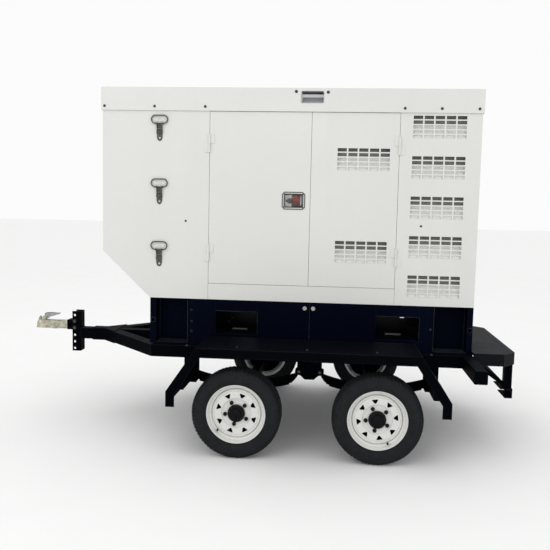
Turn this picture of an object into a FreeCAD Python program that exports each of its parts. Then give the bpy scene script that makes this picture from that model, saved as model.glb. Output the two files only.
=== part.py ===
import FreeCAD, Part

import math
import os
from FreeCAD import Vector

# Towable diesel generator on a tandem-axle trailer.
# Millimetres.  +X points to the rear deck, -X to the coupler, +Z up.
# Origin: on the ground, under the middle of the outer length and width.

# ---------------------------------------------------------------- driving dimensions
AXLE_MID_X = 384.0          # half way between the two axles
AXLE_SPACING = 860.0
TYRE_R = 277.0
TYRE_W = 166.0
WHEEL_Y = 877.0             # centre plane of a wheel
RIM_R = 183.0               # rim flange radius
RIM_W = 132.0               # over the flanges
SPINDLE_R = 20.0
RUNNING_GAP = 0.1           # radial clearance of every pin and shaft

RAIL_TOP = 612.0
TUBE = 80.0                 # square chassis tube
TUBE_WALL = 5.0
RAIL_Y = 555.0              # outer face of the side rails
RAIL_FRONT_X = -680.0
FRAME_REAR_X = 1437.0

TONGUE_FRONT_X = -1355.0    # web of the height-adjustment channel
CHANNEL_BOTTOM = 437.0
CHANNEL_H = 300.0
CHANNEL_HALF = 44.0
CHANNEL_FLANGE = 64.0
CHANNEL_T = 8.0
HOLE_PITCH = 50.0
HOLE_COUNT = 6
HOLE_R = 9.0
COUPLER_Z = 632.0
COUPLER_TIP_X = -1714.0
BALL_R = 25.4

DECK_TOP = 635.0
DECK_REAR_X = 1714.0
DECK_SKIRT = 80.0
DECK_CORNER = 80.0
SHEET = 3.0
BUMPER_BOTTOM = 335.0
BUMPER_TOP = 398.0
OUTRIGGER_X = 1363.0
OUTRIGGER_END_Y = 972.0

FENDER_TOP = 684.0
FENDER_Y = 965.0
FENDER_FLAT = 677.0         # half length of the flat top
FENDER_RUN = 186.0          # length of a sloped end
FENDER_KNEE_Z = 407.0       # where the slope turns vertical
FENDER_FOOT_Z = 312.0
FENDER_SKIRT = 55.0

SPRING_Y = 515.0            # centre plane of the springs
HANGER_X = 792.0            # end hanger pins, from the middle of the axles
EYE_Z = 460.0
EYE_R = 17.0
LEAF_W = 45.0
LEAF_T = 8.0
ROCKER_HALF = 75.0          # from a rocker's pivot to its spring eyes
AXLE_TUBE = 60.0

BASE_Y = 485.0
BASE_TOP = 920.0
BASE_FRONT_X = -704.0
BAY_DEPTH = 110.0
POCKET_X = (-258.0, 809.0)
POCKET_W = 284.0
POCKET_Z = 689.0
POCKET_H = 155.0

CANOPY_Y = 487.0
CANOPY_FRONT_X = -1030.0
CANOPY_REAR_X = 1437.0
CHAMFER_Z = 1230.0
WALL_TOP = 2160.0
ROOF_TOP = 2310.0
ROOF_OVERHANG = 8.0
FLANGE = 32.0               # return flange of a canopy panel
DOOR_FRONT_X = -311.0
DOOR_MID_X = 358.0
DOOR_REAR_X = 924.0
DOOR_BOTTOM = 1027.0
DOOR_GAP = 2.0

HINGE_Z = (1232.0, 1950.0)
HINGE_LEN = 116.0
HINGE_R = 7.0
HINGE_PIN_R = 3.5
HINGE_Y = CANOPY_Y + HINGE_R + 0.5

LATCH_X = 172.0
LATCH_W = 154.0
LATCH_Z = 1529.0
LATCH_H = 117.0
LATCH_DEPTH = 24.0

TOGGLE_X = -644.0
TOGGLE_Z = (1216.0, 1631.0, 2046.0)
LOOP_W = 118.0
LOOP_H = 60.0
LOOP_WIRE_R = 4.0
LOOP_Y = CANOPY_Y + 10.0

LOUVRE_W = 59.0
LOUVRE_H = 22.0
LOUVRE_PITCH_X = 69.0
LOUVRE_PITCH_Z = 30.0
LOUVRE_N = 5

CRANK_Z = 1290.0
FAN_Z = 1440.0
FAN_R = 262.0
BELT_X = -236.0

AXLE_XS = (AXLE_MID_X - AXLE_SPACING / 2, AXLE_MID_X + AXLE_SPACING / 2)
RAIL_BOTTOM = RAIL_TOP - TUBE
X_AXIS = Vector(1, 0, 0)
Y_AXIS = Vector(0, 1, 0)
Z_AXIS = Vector(0, 0, 1)


# ---------------------------------------------------------------- shape helpers
def box(x0, x1, y0, y1, z0, z1):
    """A block between two corners given as ranges."""
    corner = Vector(min(x0, x1), min(y0, y1), min(z0, z1))
    return Part.makeBox(abs(x1 - x0), abs(y1 - y0), abs(z1 - z0), corner)


def rod(radius, start, axis, length):
    """A round bar from start along axis."""
    return Part.makeCylinder(radius, length, Vector(*start), axis)


def rod_y(radius, x, z, y0, y1):
    """A round bar across the trailer."""
    return rod(radius, (x, min(y0, y1), z), Y_AXIS, abs(y1 - y0))


def rod_x(radius, y, z, x0, x1):
    """A round bar along the trailer."""
    return rod(radius, (min(x0, x1), y, z), X_AXIS, abs(x1 - x0))


def plate_xz(points, y0, y1):
    """A flat outline in the X-Z plane, thick from y0 to y1."""
    wire = Part.makePolygon([Vector(x, y0, z) for x, z in points + points[:1]])
    return Part.Face(wire).extrude(Vector(0, y1 - y0, 0))


def plate_xy(points, z0, z1):
    """A flat outline in the X-Y plane, thick from z0 to z1."""
    wire = Part.makePolygon([Vector(x, y, z0) for x, y in points + points[:1]])
    return Part.Face(wire).extrude(Vector(0, 0, z1 - z0))


def turned(points, x, z, side):
    """A ring about a wheel axis: points are (radius, distance outboard of the wheel's centre)."""
    section = [Vector(x, side * (WHEEL_Y + out), z + radius) for radius, out in points + points[:1]]
    return Part.Face(Part.makePolygon(section)).revolve(Vector(x, 0, z), Y_AXIS, 360)


def edges_along_y(shape):
    return [e for e in shape.Edges if e.BoundBox.YLength > 1 and e.BoundBox.XLength < 1]


def fused(shapes):
    """One solid from touching pieces."""
    body = shapes[0].fuse(shapes[1:])
    return body.removeSplitter()


def mirrored(shape):
    """The same piece on the other side of the trailer."""
    return shape.mirror(Vector(0, 0, 0), Y_AXIS)


def both_sides(shapes):
    """Pieces and their mirror images."""
    return shapes + [mirrored(shape) for shape in shapes]


def save(node, shapes):
    """Write one node, made of one or more separate solids."""
    os.makedirs("parts", exist_ok=True)
    shape = shapes[0] if len(shapes) == 1 else Part.makeCompound(shapes)
    shape.exportStep("parts/" + node + ".step")


# ---------------------------------------------------------------- chassis
def side_rails():
    outer = box(RAIL_FRONT_X, FRAME_REAR_X, -RAIL_Y, -RAIL_Y + TUBE, RAIL_BOTTOM, RAIL_TOP)
    bore = box(RAIL_FRONT_X + TUBE_WALL, FRAME_REAR_X, -RAIL_Y + TUBE_WALL, -RAIL_Y + TUBE - TUBE_WALL,
               RAIL_BOTTOM + TUBE_WALL, RAIL_TOP - TUBE_WALL)
    return both_sides([outer.cut(bore)])


def cross_tube(x):
    """A square tube between the side rails, centred at x."""
    half = RAIL_Y - TUBE
    outer = box(x - TUBE / 2, x + TUBE / 2, -half, half, RAIL_BOTTOM, RAIL_TOP)
    bore = box(x - TUBE / 2 + TUBE_WALL, x + TUBE / 2 - TUBE_WALL, -half, half, RAIL_BOTTOM + TUBE_WALL,
               RAIL_TOP - TUBE_WALL)
    return outer.cut(bore)


def cross_members():
    rear_x = FRAME_REAR_X - TUBE / 2
    tubes = [cross_tube(x) for x in (-150.0, AXLE_MID_X, 920.0, rear_x)]
    front = cross_tube(RAIL_FRONT_X + TUBE / 2)
    bearer = box(FRAME_REAR_X, DECK_REAR_X - 40, 260, 320, DECK_TOP - 60, DECK_TOP - SHEET)
    bearer = bearer.cut(box(FRAME_REAR_X, DECK_REAR_X - 40, 264, 316, DECK_TOP - 56, DECK_TOP - SHEET - 4))
    return tubes + [front] + both_sides([bearer])


def tongue_tube():
    half = TUBE / 2
    outer = box(TONGUE_FRONT_X, RAIL_FRONT_X, -half, half, RAIL_BOTTOM, RAIL_TOP)
    inner = half - TUBE_WALL
    bore = box(TONGUE_FRONT_X, RAIL_FRONT_X, -inner, inner, RAIL_BOTTOM + TUBE_WALL, RAIL_TOP - TUBE_WALL)
    return [outer.cut(bore)]


LEG_APEX_X = -1170.0        # where a leg's outer face meets the tongue's side


def leg_outline():
    """Plan view of one drawbar leg, from the tongue's side to the rail's front corner."""
    half = TUBE / 2
    run = RAIL_FRONT_X - LEG_APEX_X
    rise = RAIL_Y - half
    length = math.hypot(run, rise)
    along_tongue = TUBE * length / rise
    across_rail = TUBE * length / run
    return [(LEG_APEX_X, half), (LEG_APEX_X + along_tongue, half),
            (RAIL_FRONT_X, RAIL_Y - across_rail), (RAIL_FRONT_X, RAIL_Y)]


def a_frame_legs():
    leg = plate_xy(leg_outline(), RAIL_BOTTOM, RAIL_TOP)
    run = RAIL_FRONT_X - LEG_APEX_X
    rise = RAIL_Y - TUBE / 2
    length = math.hypot(run, rise)
    step_x = TUBE_WALL * length / rise
    step_y = TUBE_WALL * length / run
    a, b, c, d = leg_outline()
    bore = plate_xy([(a[0] + step_x, a[1]), (b[0] - step_x, b[1]), (c[0], c[1] + step_y), (d[0], d[1] - step_y)],
                    RAIL_BOTTOM + TUBE_WALL, RAIL_TOP - TUBE_WALL)
    slope = rise / run
    rear_x = LEG_APEX_X + 110
    rear_y = TUBE / 2 + slope * (rear_x - LEG_APEX_X)
    nose_x = LEG_APEX_X - 95
    gusset = [(nose_x, -TUBE / 2), (nose_x, TUBE / 2), (LEG_APEX_X, TUBE / 2), (rear_x, rear_y),
              (rear_x, -rear_y), (LEG_APEX_X, -TUBE / 2)]
    top = plate_xy(gusset, RAIL_TOP, RAIL_TOP + 6)
    bottom = plate_xy(gusset, RAIL_BOTTOM - 6, RAIL_BOTTOM)
    return both_sides([leg.cut(bore)]) + [top, bottom]


def hole_heights():
    return [CHANNEL_BOTTOM + 20 + HOLE_PITCH * k for k in range(HOLE_COUNT)]


HOLE_X = TONGUE_FRONT_X - CHANNEL_FLANGE + 18


def coupler_channel():
    top = CHANNEL_BOTTOM + CHANNEL_H
    front = TONGUE_FRONT_X - CHANNEL_FLANGE
    web = box(TONGUE_FRONT_X - CHANNEL_T, TONGUE_FRONT_X, -CHANNEL_HALF, CHANNEL_HALF, CHANNEL_BOTTOM, top)
    flange = box(front, TONGUE_FRONT_X - CHANNEL_T, CHANNEL_HALF - CHANNEL_T, CHANNEL_HALF, CHANNEL_BOTTOM, top)
    body = fused([web, flange, mirrored(flange)])
    for z in hole_heights():
        body = body.cut(rod_y(HOLE_R, HOLE_X, z, -CHANNEL_HALF - 1, CHANNEL_HALF + 1))
    body = body.makeFillet(6, [e for e in body.Edges if upright_outer(e, CHANNEL_HALF)])
    return [body]


def upright_outer(edge, half):
    """True for the long upright edges on the outside of the channel's bends."""
    span = edge.BoundBox
    tall = span.ZLength > CHANNEL_H - 1
    at_web = abs(span.XMin - TONGUE_FRONT_X) < 0.5 and span.XLength < 0.5
    return tall and at_web and abs(abs(span.YMin) - half) < 0.5


CHAIN_X = -1240.0


def chain_loops():
    """Half-round bar loops welded to the tongue's sides for the safety chains."""
    bend_r = 26.0
    bar_r = 6.0
    z = RAIL_BOTTOM + TUBE / 2 + 6
    y = TUBE / 2
    circle = Part.Wire(Part.makeCircle(bar_r, Vector(CHAIN_X - bend_r, y, z), Y_AXIS))
    first, last = Vector(CHAIN_X - bend_r, y, z), Vector(CHAIN_X + bend_r, y, z)
    arc = Part.Arc(first, Vector(CHAIN_X, y + bend_r, z), last)
    loop = Part.Wire(arc.toShape()).makePipeShell([circle], True, False)
    return both_sides([loop])


def outrigger_tubes():
    outer = box(OUTRIGGER_X, OUTRIGGER_X + TUBE, RAIL_Y, OUTRIGGER_END_Y, RAIL_BOTTOM, RAIL_TOP)
    outer = outer.makeFillet(8, [e for e in outer.Edges if e.BoundBox.YLength > 100])
    bore = box(OUTRIGGER_X + TUBE_WALL, OUTRIGGER_X + TUBE - TUBE_WALL, RAIL_Y, OUTRIGGER_END_Y - TUBE_WALL,
               RAIL_BOTTOM + TUBE_WALL, RAIL_TOP - TUBE_WALL)
    return both_sides([outer.cut(bore)])


def deck_outline(inset=0.0):
    front = FRAME_REAR_X
    rear = DECK_REAR_X - inset
    half = RAIL_Y - inset
    cut = DECK_CORNER - inset * (2 - math.sqrt(2))
    return [(front, -half), (rear - cut, -half), (rear, -half + cut), (rear, half - cut),
            (rear - cut, half), (front, half)]


def rear_deck():
    top = plate_xy(deck_outline(), DECK_TOP - SHEET, DECK_TOP)
    outer = deck_outline()
    inner = deck_outline(SHEET)
    skirts = []
    for k in range(len(outer) - 1):
        strip = [outer[k], outer[k + 1], inner[k + 1], inner[k]]
        skirts.append(plate_xy(strip, DECK_TOP - DECK_SKIRT, DECK_TOP - SHEET))
    return [top] + skirts


POST = 50.0
POST_X = DECK_REAR_X - 8 - POST
POST_Y = 424.0


def rear_posts():
    post = box(POST_X, POST_X + POST, POST_Y, POST_Y + POST, BUMPER_TOP, DECK_TOP - SHEET)
    post = post.cut(box(POST_X + 4, POST_X + POST - 4, POST_Y + 4, POST_Y + POST - 4, BUMPER_TOP, DECK_TOP))
    foot_z = BUMPER_TOP + 4
    brace = [(POST_X, foot_z), (POST_X, foot_z + 32), (FRAME_REAR_X + 26, RAIL_BOTTOM + 44),
             (FRAME_REAR_X, RAIL_BOTTOM + 44), (FRAME_REAR_X, RAIL_BOTTOM + 24)]
    return both_sides([post, plate_xz(brace, POST_Y + 8, POST_Y + 14)])


BRACKET_Y = (300.0, 500.0)
BUMPER_DEPTH = 78.0
BUMPER_X = POST_X + POST


def rear_bumper():
    """A flat bar across the rear between two short channel brackets that are open towards the front."""
    front = BUMPER_X - BUMPER_DEPTH
    y0, y1 = BRACKET_Y
    plate = 5
    web = box(BUMPER_X - plate, BUMPER_X, y0, y1, BUMPER_BOTTOM, BUMPER_TOP)
    top = box(front, BUMPER_X - plate, y0, y1, BUMPER_TOP - plate, BUMPER_TOP)
    bottom = box(front + 30, BUMPER_X - plate, y0, y1, BUMPER_BOTTOM, BUMPER_BOTTOM + plate)
    bar = box(BUMPER_X - 46, BUMPER_X - 16, -y0, y0, BUMPER_TOP - 10, BUMPER_TOP)
    return both_sides([fused([web, top, bottom])]) + [bar]


# ---------------------------------------------------------------- fenders
def fender_line(inset=0.0):
    """Side view of a fender's outer surface, or of a line inset under it."""
    slope = math.atan2(FENDER_TOP - FENDER_KNEE_Z, FENDER_RUN)
    at_top = inset * math.tan(slope / 2)
    at_knee = inset * math.tan((math.pi / 2 - slope) / 2)
    end_x = FENDER_FLAT + FENDER_RUN - inset
    half = [(end_x, FENDER_FOOT_Z), (end_x, FENDER_KNEE_Z - at_knee),
            (FENDER_FLAT - at_top, FENDER_TOP - inset)]
    front = [(AXLE_MID_X - x, z) for x, z in half]
    rear = [(AXLE_MID_X + x, z) for x, z in reversed(half)]
    return front + rear


def fender_strips(inset, y0, y1, start=0.0):
    """Flat strips that follow the fender line, start to inset deep."""
    outer = fender_line(start)
    inner = fender_line(inset)
    strips = []
    for k in range(len(outer) - 1):
        strips.append(plate_xz([outer[k], outer[k + 1], inner[k + 1], inner[k]], y0, y1))
    return strips


def fenders():
    skins = fender_strips(SHEET, RAIL_Y, FENDER_Y)
    skirts = fender_strips(FENDER_SKIRT, FENDER_Y - SHEET, FENDER_Y, SHEET)
    flange = box(AXLE_MID_X - FENDER_FLAT + 20, AXLE_MID_X + FENDER_FLAT - 20, RAIL_Y, RAIL_Y + SHEET,
                 RAIL_TOP - 30, FENDER_TOP - SHEET)
    return both_sides(skins + skirts + [flange])


SUPPORT_X = 770.0           # from the middle of the axles
SUPPORT_Z = 421.0
SUPPORT_H = 50.0
SUPPORT_HALF = 17.0


def fender_supports():
    """Tubes from the end hangers out to the fender's sloped ends, and struts under the flat top."""
    bars = []
    y0 = SPRING_Y + LEAF_W / 2 + EAR_GAP + PLATE_T
    y1 = FENDER_Y - SHEET
    wall = 4
    for sign in (-1, 1):
        x = AXLE_MID_X + sign * SUPPORT_X
        tube = box(x - SUPPORT_HALF, x + SUPPORT_HALF, y0, y1, SUPPORT_Z, SUPPORT_Z + SUPPORT_H)
        bore = box(x - SUPPORT_HALF + wall, x + SUPPORT_HALF - wall, y0 - 1, y1 - wall, SUPPORT_Z + wall,
                   SUPPORT_Z + SUPPORT_H - wall)
        bars.append(tube.cut(bore))
        strut_x = AXLE_MID_X + sign * (FENDER_FLAT - 120)
        bars.append(box(strut_x - 20, strut_x + 20, RAIL_Y + SHEET, y1, FENDER_TOP - SHEET - 30,
                        FENDER_TOP - SHEET))
    return both_sides(bars)


# ---------------------------------------------------------------- suspension
EAR_GAP = 0.5               # between a spring eye and the plates beside it
PLATE_T = 6.0               # hanger ears and rocker plates
PIN_R = 8.0
ROCKER_PIN_Z = EYE_Z + 34.0


def pin_bore(x, z):
    """A cutter for a suspension pin."""
    return rod_y(PIN_R + RUNNING_GAP, x, z, SPRING_Y - 60, SPRING_Y + 60)


def hanger(x, half_top, knee_z, half_low, low_z, pin_z, ear_in):
    """One hanger: two ears under the rail, tapering below the knee, and the pin through them."""
    outline = [(x - half_top, RAIL_BOTTOM), (x - half_top, knee_z), (x - half_low, low_z),
               (x + half_low, low_z), (x + half_top, knee_z), (x + half_top, RAIL_BOTTOM)]
    ears = [plate_xz(outline, SPRING_Y + ear_in, SPRING_Y + ear_in + PLATE_T),
            plate_xz(outline, SPRING_Y - ear_in - PLATE_T, SPRING_Y - ear_in)]
    pin = rod_y(PIN_R, x, pin_z, SPRING_Y - ear_in - PLATE_T, SPRING_Y + ear_in + PLATE_T)
    head_y = SPRING_Y - ear_in - PLATE_T
    head = rod_y(14, x, pin_z, head_y - 10, head_y)
    return [ear.cut(pin_bore(x, pin_z)) for ear in ears] + [fused([pin, head])]


def spring_hangers():
    ear_in = LEAF_W / 2 + EAR_GAP
    parts = []
    for sign in (-1, 1):
        parts += hanger(AXLE_MID_X + sign * HANGER_X, 46, 384, 36, 364, EYE_Z, ear_in)
    parts += hanger(AXLE_MID_X, 81, 461, 30, 415, ROCKER_PIN_Z, ear_in + PLATE_T + EAR_GAP)
    return both_sides(parts)


def equalisers():
    """Rockers on the centre hangers: two arched plates, a bush, and a pin for each spring eye."""
    x = AXLE_MID_X
    reach = ROCKER_HALF
    arch = [(x - reach - 20, EYE_Z - 14), (x - reach - 20, EYE_Z + 14), (x - 26, ROCKER_PIN_Z + 26),
            (x + 26, ROCKER_PIN_Z + 26), (x + reach + 20, EYE_Z + 14), (x + reach + 20, EYE_Z - 14),
            (x + reach - 14, EYE_Z - 20), (x + 20, ROCKER_PIN_Z - 22), (x - 20, ROCKER_PIN_Z - 22),
            (x - reach + 14, EYE_Z - 20)]
    inner = LEAF_W / 2 + EAR_GAP
    pieces = [plate_xz(arch, SPRING_Y + inner, SPRING_Y + inner + PLATE_T),
              plate_xz(arch, SPRING_Y - inner - PLATE_T, SPRING_Y - inner),
              rod_y(18, x, ROCKER_PIN_Z, SPRING_Y - inner, SPRING_Y + inner)]
    for sign in (-1, 1):
        pieces.append(rod_y(PIN_R, x + sign * reach, EYE_Z, SPRING_Y - inner, SPRING_Y + inner))
    return both_sides([fused(pieces).cut(pin_bore(x, ROCKER_PIN_Z))])


SPRING_DROP = 62.0
LEAF_SHARES = (1.0, 0.98, 0.96, 0.93, 0.90, 0.86, 0.80)
LEAF_END_Z = EYE_Z - EYE_R + LEAF_T
PACK_TOP = LEAF_END_Z - SPRING_DROP
PACK_BOTTOM = PACK_TOP - LEAF_T * len(LEAF_SHARES)


def curved_leaf(x0, x1, depth, share):
    """One leaf of the pack: a slice of a ring, depth below the top leaf and share of its length."""
    half = (x1 - x0) / 2
    radius = (half * half + SPRING_DROP * SPRING_DROP) / (2 * SPRING_DROP)
    centre = Vector((x0 + x1) / 2, 0, PACK_TOP + radius)
    angle = math.asin(half * share / radius)

    def on_ring(r, turn):
        return centre + Vector(r * math.sin(turn), 0, -r * math.cos(turn))

    upper = radius + depth
    lower = upper + LEAF_T
    top_arc = Part.Arc(on_ring(upper, -angle), on_ring(upper, 0), on_ring(upper, angle)).toShape()
    low_arc = Part.Arc(on_ring(lower, angle), on_ring(lower, 0), on_ring(lower, -angle)).toShape()
    end_a = Part.makeLine(on_ring(upper, angle), on_ring(lower, angle))
    end_b = Part.makeLine(on_ring(lower, -angle), on_ring(upper, -angle))
    leaf = Part.Face(Part.Wire([top_arc, end_a, low_arc, end_b])).extrude(Vector(0, LEAF_W, 0))
    leaf.translate(Vector(0, SPRING_Y - LEAF_W / 2, 0))
    return leaf


def leaf_springs():
    """Each spring: stacked leaves, the main one with an eye at both ends."""
    parts = []
    for sign in (-1, 1):
        ends = sorted([AXLE_MID_X + sign * HANGER_X, AXLE_MID_X + sign * ROCKER_HALF])
        eyes = [rod_y(EYE_R, x, EYE_Z, SPRING_Y - LEAF_W / 2, SPRING_Y + LEAF_W / 2) for x in ends]
        main = fused([curved_leaf(ends[0], ends[1], 0, 1.0)] + eyes)
        for x in ends:
            main = main.cut(pin_bore(x, EYE_Z))
        parts.append(main)
        for k, share in enumerate(LEAF_SHARES[1:]):
            parts.append(curved_leaf(ends[0], ends[1], LEAF_T * (k + 1), share))
    return both_sides(parts)


U_BOLT_R = 6.0


def spring_clamp(x):
    """Seat on the axle, tie plate on the spring, and two straps with legs round the axle."""
    half = AXLE_TUBE / 2
    seat = box(x - 50, x + 50, SPRING_Y - 22, SPRING_Y + 22, TYRE_R + half, PACK_BOTTOM)
    tie_z = PACK_TOP + 1.5
    tie = box(x - 52, x + 52, SPRING_Y - 40, SPRING_Y + 40, tie_z, tie_z + 8)
    bolts = []
    leg_x = half + U_BOLT_R + 1
    low = TYRE_R - half
    for y in (SPRING_Y - 31, SPRING_Y + 31):
        legs = [rod(U_BOLT_R, (x + s * leg_x, y, low - 1), Z_AXIS, tie_z + 24 - low) for s in (-1, 1)]
        strap = box(x - leg_x - U_BOLT_R - 1, x + leg_x + U_BOLT_R + 1, y - 7, y + 7, low - 10, low)
        bolts.append(fused(legs + [strap]))
        for leg in legs:
            tie = tie.cut(leg)
    return [seat, tie] + bolts


def axle_beams():
    """Square axle tubes with round spindles, and the clamps that hold the springs on them."""
    parts = []
    half = AXLE_TUBE / 2
    tube_end = WHEEL_Y - TYRE_W / 2 - 34
    for x in AXLE_XS:
        beam = box(x - half, x + half, -tube_end, tube_end, TYRE_R - half, TYRE_R + half)
        spindle = rod_y(SPINDLE_R, x, TYRE_R, tube_end, WHEEL_Y + 22)
        shoulder = rod_y(SPINDLE_R + 8, x, TYRE_R, tube_end, tube_end + 14)
        parts.append(fused([beam, spindle, shoulder, mirrored(spindle), mirrored(shoulder)]))
        parts += both_sides(spring_clamp(x))
    return parts


# ---------------------------------------------------------------- wheels
RIM_DISC = 40.0             # outer face of the wheel disc, outboard of the wheel's centre
BOLT_R = 70.0
HUB_CAP_R = 52.0


def tyre(x, side):
    half = TYRE_W / 2
    crown = half - 22
    bead = RIM_W / 2 - 9.5
    section = [(RIM_R - 8, -bead), (RIM_R + 6, -bead - 8), (RIM_R + 36, -half), (RIM_R + 62, -half + 4),
               (TYRE_R - 14, -crown - 10), (TYRE_R - 4, -crown), (TYRE_R, -crown + 16), (TYRE_R, crown - 16),
               (TYRE_R - 4, crown), (TYRE_R - 14, crown + 10), (RIM_R + 62, half - 4), (RIM_R + 36, half),
               (RIM_R + 6, bead + 8), (RIM_R - 8, bead), (RIM_R - 8, bead - 14), (RIM_R + 30, half - 16),
               (TYRE_R - 24, crown - 6), (TYRE_R - 24, -crown + 6), (RIM_R + 30, -half + 16),
               (RIM_R - 8, -bead + 14)]
    body = turned(section, x, TYRE_R, side)
    return [body]


def rim(x, side):
    """A pressed steel wheel: rolled barrel with flanges, and a disc with eight vents."""
    half = RIM_W / 2
    barrel = [(RIM_R, half), (RIM_R, half - 4), (RIM_R - 12, half - 6), (RIM_R - 14, half - 24),
              (RIM_R - 30, half - 34), (RIM_R - 30, -half + 44), (RIM_R - 14, -half + 24), (RIM_R - 12, -half + 6),
              (RIM_R, -half + 4), (RIM_R, -half), (RIM_R - 16, -half), (RIM_R - 18, -half + 24),
              (RIM_R - 34, -half + 44), (RIM_R - 34, half - 34), (RIM_R - 18, half - 24), (RIM_R - 16, half)]
    disc = [(RIM_R - 32, RIM_DISC - 12), (RIM_R - 32, RIM_DISC - 5), (RIM_R - 42, RIM_DISC + 2),
            (RIM_R - 60, RIM_DISC), (96, RIM_DISC - 2), (90, RIM_DISC - 8), (HUB_CAP_R + 1.5, RIM_DISC - 8),
            (HUB_CAP_R + 1.5, RIM_DISC - 13), (92, RIM_DISC - 13), (98, RIM_DISC - 7), (RIM_R - 60, RIM_DISC - 5),
            (RIM_R - 42, RIM_DISC - 3)]
    body = fused([turned(barrel, x, TYRE_R, side), turned(disc, x, TYRE_R, side)])
    vent = plate_xz([(-5, -13), (5, -13), (21, 9), (17, 13), (-17, 13), (-21, 9)], 0, side * TYRE_W)
    vent.translate(Vector(x, side * WHEEL_Y, TYRE_R + 113))
    for k in range(8):
        cutter = vent.copy()
        cutter.rotate(Vector(x, 0, TYRE_R), Y_AXIS, 22.5 + 45 * k)
        body = body.cut(cutter)
    for k in range(5):
        angle = math.radians(90 + 72 * k)
        px = x + BOLT_R * math.cos(angle)
        pz = TYRE_R + BOLT_R * math.sin(angle)
        y = side * WHEEL_Y
        body = body.cut(rod_y(7, px, pz, y, y + side * TYRE_W))
    return [body]


def hub(x, side):
    """Hub with its flange behind the disc, the dust cap through it, and five studs with nuts."""
    face = RIM_DISC - 13
    inner = -TYRE_W / 2 - 18
    bore_r = SPINDLE_R + RUNNING_GAP
    section = [(bore_r, inner), (42, inner), (42, face - 12), (86, face - 12), (86, face), (HUB_CAP_R, face),
               (HUB_CAP_R, RIM_DISC + 8), (44, RIM_DISC + 14), (40, RIM_DISC + 24), (0.0, RIM_DISC + 28),
               (0.0, 23), (bore_r, 23)]
    body = turned(section, x, TYRE_R, side)
    studs = []
    for k in range(5):
        angle = math.radians(90 + 72 * k)
        px = x + BOLT_R * math.cos(angle)
        pz = TYRE_R + BOLT_R * math.sin(angle)
        y = side * WHEEL_Y
        shank = rod_y(6, px, pz, y + side * face, y + side * (RIM_DISC + 8))
        nut = Part.Face(Part.makePolygon(hexagon(px, pz, y + side * (RIM_DISC - 8), 10.5)))
        nut = nut.extrude(Vector(0, side * 14, 0))
        studs.append(fused([shank, nut]))
    return [fused([body] + studs)]


def hexagon(x, z, y, radius):
    """A closed six-sided outline in the X-Z plane."""
    turns = [math.radians(60 * k) for k in range(7)]
    return [Vector(x + radius * math.cos(turn), y, z + radius * math.sin(turn)) for turn in turns]


WHEELS = (("front_left", AXLE_XS[0], -1), ("rear_left", AXLE_XS[1], -1),
          ("front_right", AXLE_XS[0], 1), ("rear_right", AXLE_XS[1], 1))


# ---------------------------------------------------------------- coupler
BALL_X = COUPLER_TIP_X + 36
BALL_Z = COUPLER_Z - 12
LEVER_PIVOT_X = BALL_X + 46
LEVER_PIVOT_Z = COUPLER_Z + 46
COUPLER_REAR_X = TONGUE_FRONT_X - CHANNEL_FLANGE - 44


JAW_PIVOT_X = BALL_X + BALL_R + 28
JAW_PIVOT_Z = COUPLER_Z - 2


def coupler_body():
    """Pressed ball housing in front, inverted channel behind, and the block bolted in the channel."""
    top = COUPLER_Z + 30
    low = COUPLER_Z - 31
    shell = box(BALL_X + 20, COUPLER_REAR_X, -33, 33, low, top)
    long_edges = [e for e in shell.Edges if e.BoundBox.XLength > 100 and e.BoundBox.ZMin > top - 1]
    shell = shell.makeFillet(7, long_edges)
    inside = box(BALL_X + 10, COUPLER_REAR_X - 6, -28, 28, low - 1, top - 5)
    shell = shell.cut(inside)
    dome = Part.makeCylinder(36, top - 16 - low, Vector(BALL_X, 0, low), Z_AXIS)
    cap = Part.makeCone(36, 22, 16, Vector(BALL_X, 0, top - 16), Z_AXIS)
    socket = Part.makeSphere(BALL_R + 0.6, Vector(BALL_X, 0, BALL_Z))
    mouth = Part.makeCylinder(BALL_R + 0.6, BALL_Z - low + 1, Vector(BALL_X, 0, low - 1), Z_AXIS)
    lug = box(LEVER_PIVOT_X - 12, LEVER_PIVOT_X + 12, -16, -11, top, LEVER_PIVOT_Z + 12)
    body = fused([shell, dome, cap, lug, mirrored(lug)])
    clear = box(BALL_X + 10, BALL_X + 40, -28, 28, low - 1, top - 18)
    body = body.cut(socket).cut(mouth).cut(clear)
    body = body.cut(rod_y(5 + RUNNING_GAP, LEVER_PIVOT_X, LEVER_PIVOT_Z, -40, 40))
    return [body.fuse(rod_y(5, JAW_PIVOT_X, JAW_PIVOT_Z, -30, 30))]


def coupler_bolts():
    """The mounting block between the channel's flanges, and the two cross bolts with nuts."""
    parts = []
    half = CHANNEL_HALF - CHANNEL_T
    block = box(COUPLER_REAR_X, TONGUE_FRONT_X - CHANNEL_T - 4, -half, half, COUPLER_Z - 41, COUPLER_Z + 41)
    for z in hole_heights()[3:5]:
        block = block.cut(rod_y(8.1, HOLE_X, z, -60, 60))
        shank = rod_y(8, HOLE_X, z, -CHANNEL_HALF, CHANNEL_HALF)
        head = Part.Face(Part.makePolygon(hexagon(HOLE_X, z, CHANNEL_HALF, 14))).extrude(Vector(0, 10, 0))
        parts.append(fused([shank, head, mirrored(head)]))
    return [block] + parts


def coupler_lever():
    """Latch handle on top of the coupler."""
    x, z = LEVER_PIVOT_X, LEVER_PIVOT_Z
    outline = [(x - 9, z - 9), (x + 9, z - 9), (x + 22, z + 6), (x + 70, z + 26), (x + 100, z + 30),
               (x + 100, z + 36), (x + 66, z + 35), (x + 10, z + 24), (x - 14, z + 14)]
    arm = plate_xz(outline, -10.5, 10.5)
    pin = rod_y(5, x, z, -19, 19)
    grip = plate_xz([(x + 64, z + 26), (x + 100, z + 30), (x + 100, z + 36), (x + 64, z + 35)], -20, 20)
    return [fused([arm, pin, grip])]


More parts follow.
